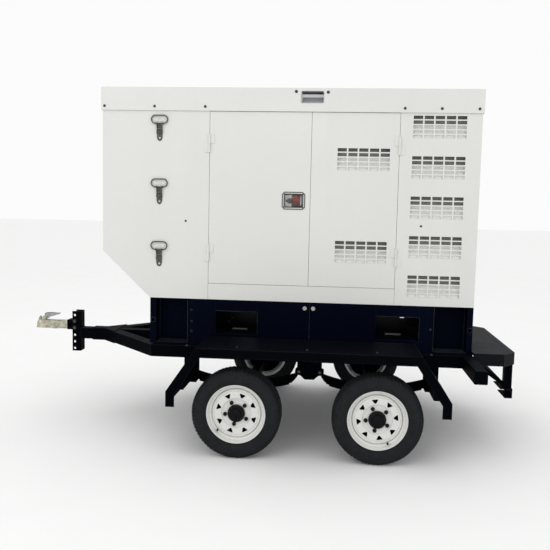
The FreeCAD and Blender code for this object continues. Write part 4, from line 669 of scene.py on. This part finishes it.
def hoods():
    """Scoops and grey baffles of every vent group, each set on the part that carries it; the baffles' grey is
    painted shade.
    """
    groups = [("rear", side, "chassis", REAR_LOUVRES) for side in SIDES]
    groups += [("door", side, "door_rear_" + side, DOOR_LOUVRES) for side in SIDES]
    for group, name, body, spots in groups:
        scoops, shade_plates = Piece(), Piece()
        for x, z in spots:
            louvre_hood(scoops, SIDES[name], x, z)
            shade_baffle(shade_plates, SIDES[name], x, z)
        scoops.done("vent_hoods_" + group + "_" + name, "pale_white", body, "canopy_white")
        shade_plates.done("vent_baffles_" + group + "_" + name, "shade_baffle", body)


def lining():
    """Sound foam inside the fixed panels, the roof and the doors."""
    made = Piece()
    thick = 0.022
    inner = PANEL_Y - 0.0035
    for side in SIDES.values():
        for x0, x1, z0, z1 in ((-0.985, -0.36, 1.25, 2.15), (-0.69, -0.36, 0.94, 1.24),
                               (0.965, 0.985, 0.94, 2.28), (1.36, 1.425, 0.94, 2.28)):
            made.block(x0, x1, side * (inner - thick), side * inner, z0, z1, 0.004)
    made.block(-1.015, 1.425, -0.47, 0.47, 2.283, 2.305, 0.004)
    made.block(1.408, 1.43, -0.455, 0.455, 0.94, 2.27, 0.004)
    made.block(-1.025, -1.003, -0.455, 0.455, 1.26, 2.27, 0.004)
    made.done("foam_lining", "foam")
    for name, side in SIDES.items():
        y0, y1 = side * (inner - 0.018), side * inner
        made = Piece()
        for x0, x1, z0, z1 in ((-0.3, 0.16, 1.045, 2.14), (0.16, 0.338, 1.045, 1.515),
                               (0.16, 0.338, 1.66, 2.14)):
            made.block(x0, x1, y0, y1, z0, z1, 0.004)
        made.done("foam_door_front_" + name, "foam", "door_front_" + name)
        made = Piece()
        for x0, x1, z0, z1 in ((0.375, 0.505, 1.045, 2.14), (0.505, 0.885, 1.045, 1.15),
                               (0.505, 0.885, 1.365, 1.745), (0.505, 0.885, 1.965, 2.14),
                               (0.885, 0.905, 1.045, 2.14)):
            made.block(x0, x1, y0, y1, z0, z1, 0.004)
        made.done("foam_door_rear_" + name, "foam", "door_rear_" + name)


def canopy_trim():
    """Screws of the roof band and panels, door seals and hinge screws, and dark strips in the door and panel
    gaps that are painted shade.
    """
    made = Piece()
    for side in SIDES.values():
        for x in (-1.015, -0.678, -0.341, 0.948, 1.18, 1.414):
            made.screw((x, side * ROOF_Y, 2.187), 0.0062, "y", side)
        for x, z in ((0.252, 2.287), (0.457, 2.284)):
            made.screw((x, side * ROOF_Y, z), 0.0068, "y", side)
        for x in (-0.466, 1.078):
            made.screw((x, side * PANEL_Y, 1.44), 0.005, "y", side)
    for y in (-0.43, -0.15, 0.15, 0.43):
        made.screw((-1.038, y, 2.187), 0.0062, "x", -1)
        made.screw((1.445, y, 2.187), 0.0062, "x", 1)
    made.done("canopy_screws", "darkbolt", slot="stainless")
    made = Piece()
    for side in SIDES.values():
        y0, y1 = side * 0.4526, side * 0.4602
        for x0, x1, z0, z1 in ((-0.308, -0.292, 1.034, 2.154), (0.905, 0.921, 1.034, 2.154),
                               (-0.292, 0.905, 1.03, 1.044)):
            made.block(x0, x1, y0, y1, z0, z1, 0.003)
    made.done("door_seals", "seal")
    # Dark strips set into the gaps round the doors, over the door tops and down the panel seams: painted shade
    # that darkens the gaps.
    made = Piece()
    for side in SIDES.values():
        y0, y1 = side * 0.47, side * 0.4855
        for x0, x1, z0, z1 in ((-0.3107, -0.3093, 1.0275, 2.16), (0.9223, 0.9237, 1.0275, 2.16),
                               (-0.3107, 0.9237, 1.0273, 1.0287)):
            made.block(x0, x1, y0, y1, z0, z1, 0.0003)
        made.block(-0.309, 0.922, side * 0.472, side * 0.4868, 2.1584, 2.163, 0.0005)
        for x in (-0.311, 0.924):
            made.block(x - 0.0006, x + 0.0006, side * 0.486, side * 0.4873, 0.922, 1.027, 0.0001)
    made.done("seam_seals", "seal")
    # A dark strip in the gap between the two doors: painted shade.
    for name, side in SIDES.items():
        made = Piece()
        made.block(0.3574, 0.3586, side * 0.47, side * 0.4855, 1.03, 2.157, 0.0003)
        made.done("meeting_seal_" + name, "seal", "door_front_" + name)


hoods()
lining()
canopy_trim()


# ---------------------------------------------------------------- latches
TOGGLE_X = -0.644
TOGGLE_Z = {"low": 1.216, "mid": 1.631, "top": 2.046}
LATCH_MID = (0.249, 1.5875)
LATCH_HALF = (0.077, 0.0585)
SKIN_Y = 0.487


def toggle_base(made, side, z):
    """Shield-shaped foot with a padlock hole, two barrels across it and the arms that carry the loop."""
    x = TOGGLE_X
    shield = [(x - 0.02, z - 0.032), (x - 0.019, z - 0.06), (x - 0.012, z - 0.079), (x, z - 0.0845),
              (x + 0.012, z - 0.079), (x + 0.019, z - 0.06), (x + 0.02, z - 0.032), (x + 0.0165, z + 0.034),
              (x - 0.0165, z + 0.034)]
    plate = Piece()
    plate.prism([(u, v) for u, v in rounded(shield, 0.005, 3)], "y", side * SKIN_Y, side * (SKIN_Y + 0.0035))
    hole = Piece()
    hole.disc((x, 0, z - 0.064), 0.0075, side * 0.47, side * 0.51, edge=0.0)
    result = difference(plate.mesh("plate", "stainless"), hole.mesh("hole", "stainless"))
    made.bm.from_mesh(result)
    made.lathe([(0.0075, SKIN_Y + 0.002), (0.0105, SKIN_Y + 0.002), (0.0105, SKIN_Y + 0.0048),
                (0.0092, SKIN_Y + 0.0055), (0.008, SKIN_Y + 0.0048)], (x, 0, z - 0.064), "y", side, 20)
    for sign in (-1, 1):
        arm = [(side * (SKIN_Y + 0.003), z - 0.028), (side * (SKIN_Y + 0.012), z - 0.024),
               (side * (SKIN_Y + 0.0165), z + 0.024), (side * (SKIN_Y + 0.015), z + 0.036),
               (side * (SKIN_Y + 0.006), z + 0.037), (side * (SKIN_Y + 0.003), z + 0.01)]
        made.prism(arm, "x", x + sign * 0.015, x + sign * 0.0185, 0.0006)
    made.lathe(mm([(0, -18), (7.8, -18), (8.6, -17), (8.6, 17), (7.8, 18), (0, 18)]),
               (x, side * (SKIN_Y + 0.0075), z - 0.0055), "x", 1, 24)
    made.lathe(mm([(0, -20.5), (5.8, -20.5), (6.6, -19.5), (6.6, 19.5), (5.8, 20.5), (0, 20.5)]),
               (x, side * (SKIN_Y + 0.0066), z - 0.0285), "x", 1, 24)
    made.block(x - 0.013, x + 0.013, side * (SKIN_Y + 0.003), side * (SKIN_Y + 0.0075), z - 0.0225, z - 0.014,
               0.0008)
    made.screw((x, side * (SKIN_Y + 0.0035), z + 0.0165), 0.005, "y", side)
    made.screw((x, side * (SKIN_Y + 0.0035), z - 0.043), 0.0038, "y", side)


def toggle_loop(made, side, z):
    """The wire loop: flat top and bottom, drawn-out ends, a collar where it crosses each arm."""
    low, high = z + 0.03, z + 0.082
    mid = (low + high) / 2
    path = []
    for a, b, c in (((0.027, low), (0.05, low), (0.0545, mid)), ((0.0545, mid), (0.05, high), (0.027, high)),
                    ((-0.027, high), (-0.05, high), (-0.0545, mid)), ((-0.0545, mid), (-0.05, low),
                                                                      (-0.027, low))):
        for i in range(9):
            t = i / 9
            path.append([(1 - t) ** 2 * a[k] + 2 * t * (1 - t) * b[k] + t * t * c[k] for k in (0, 1)])
        path.append(list(c))
    points = []
    for u, v in path:
        point = Vector((TOGGLE_X + u, side * 0.497, v))
        if not points or (point - points[-1]).length > 1e-4:
            points.append(point)
    made.tube(points, 0.0041, 12, closed=True)
    for sign in (-1, 1):
        made.lathe(mm([(4.2, -3), (6.2, -3), (6.2, 3), (4.2, 3)]),
                   (TOGGLE_X + sign * 0.0235, side * 0.497, low), "x", 1, 16)


def catch(made, side, z):
    """The hook behind a loop, on its own small bracket."""
    x = TOGGLE_X
    made.block(x - 0.037, x + 0.037, side * SKIN_Y, side * (SKIN_Y + 0.0022), z + 0.043, z + 0.07, 0.0008)
    made.block(x - 0.037, x + 0.037, side * (SKIN_Y + 0.002), side * (SKIN_Y + 0.0048), z + 0.0655, z + 0.07,
               0.0008)
    hook = [Vector((x + 0.012 * math.cos(a), side * (SKIN_Y + 0.0035), z + 0.046 + 0.015 * math.sin(a)))
            for a in [math.pi * k / 12 for k in range(13)]]
    made.tube(hook, 0.0022, 8)


def chamfered(half_x, half_z, cut, mid):
    x, z = mid
    return [(x - half_x + cut, z - half_z), (x + half_x - cut, z - half_z), (x + half_x, z - half_z + cut),
            (x + half_x, z + half_z - cut), (x + half_x - cut, z + half_z), (x - half_x + cut, z + half_z),
            (x - half_x, z + half_z - cut), (x - half_x, z - half_z + cut)]


def ring_frame(made, side, levels, mid, half, cut):
    """A closed frame whose section is a list of (inset, y)."""
    part = bmesh.new()
    rings = []
    for inset, y in levels:
        outline = chamfered(half[0] - inset, half[1] - inset, max(0.001, cut - inset * 0.45), mid)
        rings.append([part.verts.new((u, side * y, v)) for u, v in outline])
    for i, one in enumerate(rings):
        two = rings[(i + 1) % len(rings)]
        for k in range(len(one)):
            j = (k + 1) % len(one)
            part.faces.new((one[k], one[j], two[j], two[k]))
    made.take(part, 0.0006, 2)


def latches():
    """Toggle latches at the nose and the paddle latch of each front door."""
    made, hooks = Piece(), Piece()
    for name, side in SIDES.items():
        for level, z in TOGGLE_Z.items():
            toggle_base(made, side, z)
            catch(hooks, side, z)
            loop = Piece()
            toggle_loop(loop, side, z)
            node = "toggle_handle_" + level + "_" + name
            loop.done("loop_" + level + "_" + name, "stainless", node, "stainless", [node])
    made.done("toggle_feet", "stainless", slot="stainless", replaces=["toggle_bases"])
    hooks.done("toggle_catches", "canopy", slot="canopy_white")
    levels = mm([(0, 487.2), (0.6, 490.2), (3, 491.5), (6.5, 491), (8.5, 489), (10, 488.4), (11, 489.6),
                 (14.5, 490), (17.2, 488), (19, 482), (19.2, 468), (12.8, 468), (12.5, 487.2)])
    for name, side in SIDES.items():
        door = "door_front_" + name
        made = Piece()
        ring_frame(made, side, levels, LATCH_MID, LATCH_HALF, 0.016)
        for dx in (-1, 1):
            for dz in (-1, 1):
                made.screw((LATCH_MID[0] + dx * 0.0665, side * 0.4885, LATCH_MID[1] + dz * 0.0475), 0.0026,
                           "y", side)
        made.done("latch_frame_" + name, "stainless", door, "stainless")
        made = Piece()
        made.block(0.2395, 0.296, side * 0.4665, side * 0.47, 1.548, 1.625, 0.0008)
        made.block(0.2395, 0.3045, side * 0.47, side * 0.479, 1.55, 1.56, 0.0012)
        made.done("latch_back_" + name, "darkbolt", door)
        made = Piece()
        made.prism(rounded(rect(0.242, 0.2905, 1.563, 1.6215), 0.003), "y", side * 0.47, side * 0.4755,
                   0.0008)
        made.screw((0.2545, side * 0.4755, 1.615), 0.0024, "y", side)
        made.screw((0.28, side * 0.4755, 1.615), 0.0024, "y", side)
        made.prism(rounded(mm([(256, 1579), (284, 1572), (286, 1600), (264, 1604)]), 0.005), "y",
                   side * 0.4755, side * 0.4775, 0.0008)
        made.done("latch_keeper_" + name, "copper", door)
        made = Piece()
        made.block(0.2925, 0.2985, side * 0.47, side * 0.4845, 1.5555, 1.618, 0.0012)
        made.done("latch_strip_" + name, "dish", door)
        paddle = "latch_paddle_" + name
        made = Piece()
        made.lathe(mm([(2.6, 1547), (5.2, 1547), (5.2, 1628), (2.6, 1628)]), (0.194, side * 0.475, 0.0),
                   "z", 1, 20)
        made.prism(rounded(mm([(195, 1550), (234, 1548), (234, 1625), (195, 1623)]), 0.004), "y",
                   side * 0.4735, side * 0.4765, 0.0008)
        made.done("paddle_plate_" + name, "dish", paddle, "stainless", [paddle])
        made = Piece()
        made.prism(rounded(mm([(199, 1590), (223, 1606), (225.5, 1604), (225.5, 1569), (222, 1567),
                               (201, 1580)]), 0.003), "y", side * 0.4765, side * 0.483, 0.0015)
        made.block(0.2262, 0.2375, side * 0.4765, side * 0.485, 1.57, 1.602, 0.0015)
        made.disc((0.232, side * 0.485, 1.586), 0.004, 0.0, 0.0015, "y", side)
        made.done("paddle_grip_" + name, "stainless", paddle, "stainless")


latches()


# ---------------------------------------------------------------- lifting recesses
def lifting():
    """Rolled lips of the roof's lifting recesses."""
    lips = Piece()
    for side in SIDES.values():
        y0, y1 = side * 0.435, side * 0.4945
        lips.prism([(y0, 2.2145), (y1, 2.2145), (y1, 2.2165), (y0, 2.226)], "x", 0.2835, 0.4305, 0.0005)
        lips.prism([(0.2825, y0), (0.295, y0), (0.284, y1), (0.2825, y1)], "z", 2.215, 2.289, 0.0005)
        lips.prism([(0.4315, y0), (0.4235, y0), (0.4305, y1), (0.4315, y1)], "z", 2.215, 2.289, 0.0005)
        path = [Vector((u, side * 0.4956, v)) for u, v in rounded(rect(0.281, 0.433, 2.213, 2.292), 0.014, 6)]
        lips.tube(path, 0.0016, 8, closed=True)
    lips.done("recess_lips", "canopy", slot="canopy_white")


lifting()


# ---------------------------------------------------------------- base and chassis details
POCKET_W = 0.284
POCKETS = [(x, x + POCKET_W) for x in (-0.258, 0.809)]
BASE_Y = 0.485


def pocket_parts():
    """Dark sheets lining the fork pockets (painted shade), a pale plate under each near floor opening (painted
    light), and rods in a lighter worn paint along the top and right edges of each mouth (painted highlight),
    with bolts on the pocket floors.
    """
    shade_black, light_patch, edge_highlights_and_bolts = Piece(), Piece(), Piece()
    floor, ceiling = 0.6895, 0.842
    hole = (0.08, 0.19)
    for x0, x1 in POCKETS:
        for side in SIDES.values():
            end = side * 0.4835
            for a, b in ((x0 + 0.0005, x0 + 0.002), (x1 - 0.002, x1 - 0.0005)):
                shade_black.block(a, b, 0.0, end, floor, ceiling + 0.0015, 0.0)
            shade_black.block(x0 + 0.0005, x1 - 0.0005, 0.0, end, ceiling, ceiling + 0.0015, 0.0)
            sheets = [(0.002, POCKET_W - 0.002, 0.0, 0.17), (0.002, POCKET_W - 0.002, 0.36, 0.4835),
                      (0.002, hole[0], 0.17, 0.36), (hole[1], POCKET_W - 0.002, 0.17, 0.36)]
            # On the near side a pale plate lies just under the floor opening: painted light, standing in for the
            # light seen through the hole.
            if side < 0:
                light_patch.block(x0 + 0.081, x0 + 0.189, -0.359, -0.171, 0.6845, 0.6865, 0.0006)
                sheets += [(*hole, 0.1695, 0.23), (*hole, 0.3, 0.3605)]
            else:
                sheets.append((*hole, 0.17, 0.36))
            for a, b, near, far in sheets:
                shade_black.block(x0 + a, x0 + b, side * near, side * far, floor, floor + 0.001, 0.0)
            # Rods in the lighter deck paint along the top and the right edge of each mouth: painted highlight
            # where light catches those edges.
            corner = [(x0 + 0.002, 0.844), (x1 - 0.006, 0.844), (x1, 0.838), (x1, 0.7)]
            edge_highlights_and_bolts.tube([(u, side * (BASE_Y + 0.0004), v) for u, v in corner], 0.0018, 8)
            for dx, y in ((0.018, 0.165), (0.016, 0.02)):
                edge_highlights_and_bolts.bolt((x0 + dx if x0 < 0 else x1 - dx, side * y, floor + 0.001), 0.0075, "z", 1)
    shade_black.done("pocket_liners", "shade_black")
    light_patch.done("pocket_cover_plates", "pale_white", slot="base_navy")
    edge_highlights_and_bolts.done("pocket_trim", "deck", slot="base_navy")


def base_parts():
    """Bolts, tie-down rings, screws and weld seams of the base frame."""
    bolts, small, seams = Piece(), Piece(), Piece()
    for side in SIDES.values():
        for x in (0.34, 0.396):
            bolts.bolt((x, side * BASE_Y, 0.879), 0.0115, "y", side)
        for x in (-0.684, 1.419):
            seams.lathe([(0.013, BASE_Y), (0.0175, BASE_Y), (0.0175, BASE_Y + 0.0012),
                         (0.013, BASE_Y + 0.0016)],
                        (x, 0, 0.77), "y", side, 24)
        for x, z in ((-0.421, 0.843), (-0.421, 0.767), (-0.421, 0.699), (1.165, 0.765)):
            small.bolt((x, side * BASE_Y, z), 0.0065, "y", side)
        for x in (-0.4475, 0.373, 1.186):
            seams.tube([(x, side * (BASE_Y + 0.0004), z) for z in (0.619, 0.7, 0.8, 0.913)], 0.0018, 8)
        for x0, x1 in ((-0.664, -0.446), (1.185, 1.401)):
            seams.tube([(x0, side * 0.3815, 0.6195), (x1, side * 0.3815, 0.6195)], 0.0025, 8)
            for x in (x0 + 0.0015, x1 - 0.0015):
                seams.tube([(x, side * 0.3815, 0.62), (x, side * 0.3815, 0.912)], 0.0025, 8)
        for k in range(9):
            x = -0.66 + k * 0.255
            small.bolt((x, side * 0.43, 0.618) if k in (0, 8) else (x, side * 0.478, 0.913), 0.0055, "z", 1)
    bolts.done("base_bolts", "dish")
    small.done("base_screws", "deck", slot="stainless")
    seams.done("base_weld_seams", "deck", slot="base_navy")


def chassis_parts():
    """Hanger and axle fasteners and weld seams of the tongue."""
    dark, welds = Piece(), Piece()
    for side in SIDES.values():
        for x, z in ((0.315, 0.466), (0.453, 0.466)):
            dark.bolt((x, side * 0.55, z), 0.0085, "y", side)
        for x in (-0.046, 0.814):
            for dx in (-0.045, 0.045):
                for dy in (-0.03, 0.03):
                    dark.hexagon((x + dx, side * 0.515 + dy, 0.3165), 0.0085, 0.0, 0.008, "z", -1)
        for x in (-0.36, -0.05, 0.38, 0.8, 1.12):
            dark.bolt((x, side * 0.905, 0.6835), 0.006, "z", 1)
        welds.tube([(-0.68, side * 0.5555, 0.575), (-0.68, side * 0.5555, 0.611)], 0.003, 8)
    dark.bolt((-1.392, 0.0, 0.7365), 0.0075, "z", 1)
    for z in (0.612, 0.662):
        for side in (-1, 1):
            dark.bolt((-1.401, side * 0.0435, z), 0.0105, "y", side)
    dark.done("chassis_fasteners", "darkbolt")
    for side in (-1, 1):
        welds.tube([(-1.3548, side * 0.0405, 0.5335), (-1.3548, side * 0.0405, 0.6105)], 0.0028, 8)
    welds.tube([(-1.3548, -0.04, 0.6125), (-1.3548, 0.04, 0.6125)], 0.0028, 8)
    welds.done("weld_seams", "black", slot="chassis_black")


pocket_parts()
base_parts()
chassis_parts()


# ---------------------------------------------------------------- coupler
BALL = (-1.678, 0.0)
LEVER_PIN = (-1.632, 0.678)


def coupler():
    """Pressed coupler housing over the ball, its nut, the lever and the block behind it."""
    made = Piece()
    low, top = 0.6015, 0.662
    section = [(0.036, low), (0.0358, low + 0.0035), (0.0325, low + 0.006), (0.0315, low + 0.013),
               (0.0315, 0.648), (0.03, 0.656), (0.025, 0.6605), (0.018, top), (0.0, top)]
    ring = section + [(-y, z) for y, z in reversed(section[:-1])]
    inner = [(y * 0.86, z - 0.0045 if z > 0.61 else z) for y, z in reversed(ring)]
    made.prism(ring + inner, "x", -1.67, -1.464)
    made.lathe([(0.0262, low), (0.036, low), (0.036, low + 0.0035), (0.0335, low + 0.0065),
                (0.0322, low + 0.013), (0.0318, 0.633), (0.03, 0.643), (0.0262, 0.652), (0.0205, 0.6585),
                (0.014, 0.6625), (0.008, 0.664), (0.0, 0.6645), (0.0, 0.66), (0.015, 0.657), (0.0262, 0.64)],
               (BALL[0], 0.0, 0.0), "z", 1, 56)
    for side in (-1, 1):
        for x0, x1 in ((-1.64, -1.592), (-1.578, -1.53), (-1.516, -1.474)):
            rib = rounded(rect(x0, x1, 0.623, 0.635), 0.0055, 5)
            made.prism(rib, "y", side * 0.031, side * 0.0375, 0.002)
        made.prism(rounded(rect(-1.584, -1.533, 0.5985, 0.605), 0.002), "y", side * 0.03, side * 0.0355,
                   0.0008)
        cheek = mm([(-1672, 656), (-1638, 660), (-1642, 680), (-1650, 689.5), (-1660, 689.5), (-1668, 676)])
        made.prism(rounded(cheek, 0.003), "y", side * 0.0115, side * 0.015, 0.0006)
        made.bolt((LEVER_PIN[0], side * 0.015, LEVER_PIN[1]), 0.0062, "y", side)
    made.done("coupler_housing", "zinc", slot="zinc_plate", replaces=["coupler_body"])
    made = Piece()
    made.hexagon((-1.684, 0.0, 0.664), 0.0125, 0.0, 0.012, "z", 1, 0.3)
    made.disc((-1.684, 0.0, 0.676), 0.007, 0.0, 0.011, "z", 1)
    made.disc((-1.684, 0.0, 0.662), 0.0155, 0.0, 0.003, "z", 1)
    made.done("coupler_nut", "bright", slot="zinc_plate")
    x, z = LEVER_PIN
    made = Piece()
    cheek = [(-13, 2), (-11, -8), (8, -9), (20, 3), (44, 10), (60, 14), (75, 20), (97, 26), (99, 32),
             (80, 36), (40, 38), (0, 36), (-16, 30)]
    for side in (-1, 1):
        made.prism([(x + u / 1000, z + v / 1000) for u, v in cheek], "y", side * 0.008, side * 0.0105, 0.0006)
    cover = [(-16, 30), (0, 36), (40, 38), (80, 36), (99, 32), (99, 29), (80, 33), (40, 35), (1, 33),
             (-15, 27)]
    made.prism([(x + u / 1000, z + v / 1000) for u, v in cover], "y", -0.0105, 0.0105, 0.0005)
    grip = [(63, 30), (100, 33), (100, 36), (84, 35.5), (63, 34)]
    made.prism([(x + u / 1000, z + v / 1000) for u, v in grip], "y", -0.0195, 0.0195, 0.0008)
    made.done("coupler_handle", "bright", "coupler_lever", "zinc_plate", ["coupler_lever"])
    made = Piece()
    made.prism(rounded(rect(-1.463, -1.368, 0.596, 0.67), 0.006), "y", -0.0355, 0.0355, 0.0015)
    made.block(-1.463, -1.42, -0.0358, 0.0358, 0.612, 0.656, 0.002)
    made.done("coupler_block", "black", slot="chassis_black", replaces=["coupler_bolts"])


coupler()


# ---------------------------------------------------------------- inside the canopy
BELT_X = -0.236
FAN_Z, CRANK_Z = 1.44, 1.29
FAN_PULLEY_R, CRANK_R = 0.058, 0.078


def smooth_path(points, steps=8):
    """A curve through points."""
    points = [Vector(p) for p in points]
    path = []
    for i in range(len(points) - 1):
        a, b, c, d = points[max(i - 1, 0)], points[i], points[i + 1], points[min(i + 2, len(points) - 1)]
        for k in range(steps):
            t = k / steps
            square = a * 2 - b * 5 + c * 4 - d
            cube = b * 3 - a - c * 3 + d
            path.append((b * 2 + (c - a) * t + square * t ** 2 + cube * t ** 3) / 2)
    return path + [points[-1]]


def engine_extras():
    """Fan belt, rigid coolant pipes with their collars, oil filter, injection pump and fuel pipes."""
    belt = Piece()
    lean = math.asin((CRANK_R - FAN_PULLEY_R) / (FAN_Z - CRANK_Z))
    points = []
    for z, radius, start in ((FAN_Z, FAN_PULLEY_R, lean), (CRANK_Z, CRANK_R, math.pi - lean)):
        sweep = math.pi - 2 * lean if z == FAN_Z else math.pi + 2 * lean
        for k in range(17):
            angle = start + sweep * k / 16
            points.append((BELT_X, (radius + 0.0075) * math.cos(angle),
                           z + (radius + 0.0075) * math.sin(angle)))
    belt.tube(points, 0.0062, 8, closed=True)
    belt.done("fan_belt", "seal")
    pipes, collars = Piece(), Piece()
    runs = [mm([(-520, 150, 1775), (-380, 150, 1785), (-220, 120, 1760), (-145, 80, 1690)]),
            mm([(-520, -200, 1030), (-380, -200, 1030), (-240, -175, 1080), (-150, -130, 1190)])]
    for run in runs:
        path = smooth_path(run)
        pipes.tube(path, 0.021, 18)
        for a, b in ((path[1], path[2]), (path[-3], path[-2])):
            collars.tube([a, a + (b - a).normalized() * 0.012], 0.0222, 20)
    pipes.done("coolant_pipes", "cabinet")
    collars.done("pipe_collars", "bright")
    made = Piece()
    made.lathe(mm([(0, 168), (44, 168), (47, 174), (47, 270), (43, 286), (30, 294), (0, 296)]),
               (0.26, 0.0, 1.235), "y", -1, 40)
    made.done("oil_filter", "yellow")
    made = Piece()
    for k in range(3):
        made.disc((0.02 + 0.06 * k, -0.168, 1.42), 0.019, 0.0, 0.026, "y", -1)
        made.hexagon((0.02 + 0.06 * k, -0.168, 1.42), 0.012, 0.026, 0.04, "y", -1)
    made.done("injection_pump", "brass")
    made = Piece()
    for k in range(3):
        x = 0.02 + 0.06 * k
        made.tube(smooth_path([(x, -0.205, 1.42), (x, -0.222, 1.5), (x + 0.03 * k, -0.215, 1.6),
                               (x + 0.06 * k, -0.115, 1.66)]), 0.0035, 8)
    made.tube(smooth_path(mm([(520, -340, 935), (420, -300, 1060), (300, -235, 1300), (140, -205, 1400)])),
              0.005, 8)
    made.done("fuel_pipes", "copper_pipe")


def battery():
    """Starter battery with its caps and posts."""
    made, posts = Piece(), Piece()
    made.block(0.862, 1.085, -0.428, -0.288, 0.9205, 1.075, 0.006)
    made.block(0.858, 1.089, -0.432, -0.284, 1.075, 1.105, 0.005)
    for k in range(6):
        made.disc((0.885 + 0.0355 * k, -0.338, 1.105), 0.011, 0.0, 0.006, "z", 1)
    made.done("battery_case", "battery")
    for x in (0.885, 1.062):
        posts.disc((x, -0.4, 1.105), 0.0095, 0.0, 0.016, "z", 1)
        posts.bolt((x, -0.4, 1.121), 0.008, "z", 1)
    posts.done("battery_posts", "bright")


def panel_face():
    """Screen, keys, lamps, stop button and breaker handles of the control cabinet."""
    y = -0.42
    made = Piece()
    made.block(1.196, 1.324, y - 0.0075, y - 0.006, 1.925, 2.004, 0.0005)
    made.done("panel_screen", "screen")
    made = Piece()
    for k in range(5):
        made.disc((1.206 + 0.027 * k, y - 0.006, 1.912), 0.006, 0.0, 0.003, "y", -1)
    made.block(1.236, 1.274, y - 0.026, y - 0.014, 1.68, 1.702, 0.003)
    made.done("panel_keys", "seal")
    made = Piece()
    for k in range(3):
        made.lathe(mm([(0, 0), (8.5, 0), (8.5, 4), (6, 8.5), (0, 10)]),
                   (1.225 + 0.035 * k, y, 1.86), "y", -1, 24)
    made.done("panel_lamps", "lamp")
    made = Piece()
    made.lathe(mm([(0, 20), (19.5, 20), (20, 20.8), (18.5, 22.2), (0, 22.5)]),
               (1.17, y, 1.8), "y", -1, 32)
    made.done("panel_stop_button", "red")
    made = Piece()
    made.lathe(mm([(20.2, 0), (30, 0), (30, 2), (20.2, 2)]), (1.17, y, 1.8), "y", -1, 32)
    made.done("panel_stop_collar", "yellow")


engine_extras()
battery()
panel_face()


# ---------------------------------------------------------------- camera, floor and light
def camera():
    """The viewing angle: left side, from a little above."""
    yaw, pitch, roll = -0.0859, 0.0957, 0.0213
    forward = Vector((math.sin(yaw) * math.cos(pitch), math.cos(yaw) * math.cos(pitch), -math.sin(pitch)))
    flat_right = Vector((math.cos(yaw), -math.sin(yaw), 0.0))
    flat_up = flat_right.cross(forward)
    right = flat_right * math.cos(roll) + flat_up * math.sin(roll)
    up = right.cross(forward)
    data = bpy.data.cameras.new("camera")
    data.sensor_fit = "HORIZONTAL"
    data.sensor_width = 36.0
    data.lens = 45.455
    cam = bpy.data.objects.new("camera", data)
    bpy.context.scene.collection.objects.link(cam)
    turn = Matrix((right, up, -forward)).transposed().to_4x4()
    cam.matrix_world = Matrix.Translation((0.5311, -5.0497, 1.5357)) @ turn
    bpy.context.scene.camera = cam


def area_light(name, at, toward, size, watts, colour=(1.0, 1.0, 1.0)):
    data = bpy.data.lights.new(name, "AREA")
    data.shape = "RECTANGLE"
    data.size, data.size_y = size
    data.energy = watts
    data.color = colour
    lamp = bpy.data.objects.new(name, data)
    bpy.context.scene.collection.objects.link(lamp)
    lamp.location = at
    lamp.rotation_mode = "QUATERNION"
    lamp.rotation_quaternion = (Vector(toward) - Vector(at)).to_track_quat("-Z", "Y")


def studio():
    """Pale floor, white surroundings and three soft lamps."""
    s = Shader("floor_pale", Roughness=0.9, Specular_IOR_Level=0.2)
    s.set(Base_Color=s.mix(s.noise(2.0, 3.0), (0.91, 0.91, 0.91), (0.94, 0.94, 0.935)))
    bm = bmesh.new()
    bmesh.ops.create_grid(bm, x_segments=2, y_segments=2, size=60.0)
    mesh = bpy.data.meshes.new("floor")
    bm.to_mesh(mesh)
    bm.free()
    mesh.materials.append(s.mat)
    floor = bpy.data.objects.new("floor", mesh)
    bpy.context.scene.collection.objects.link(floor)
    world = bpy.data.worlds.new("studio")
    world.use_nodes = True
    back = world.node_tree.nodes["Background"]
    back.inputs[0].default_value = (1.0, 1.0, 1.0, 1.0)
    back.inputs[1].default_value = 0.97
    bpy.context.scene.world = world
    area_light("key_light", (-2.6, -6.0, 5.2), (0.1, 0.0, 1.1), (5.0, 3.5), 60.0)
    area_light("fill_light", (5.0, -4.5, 2.6), (0.4, 0.0, 1.0), (4.0, 3.0), 10.0)
    area_light("top_light", (0.2, 1.5, 6.5), (0.2, 0.0, 1.0), (6.0, 4.0), 30.0)
    bpy.context.scene.view_settings.view_transform = "Standard"


camera()
studio()
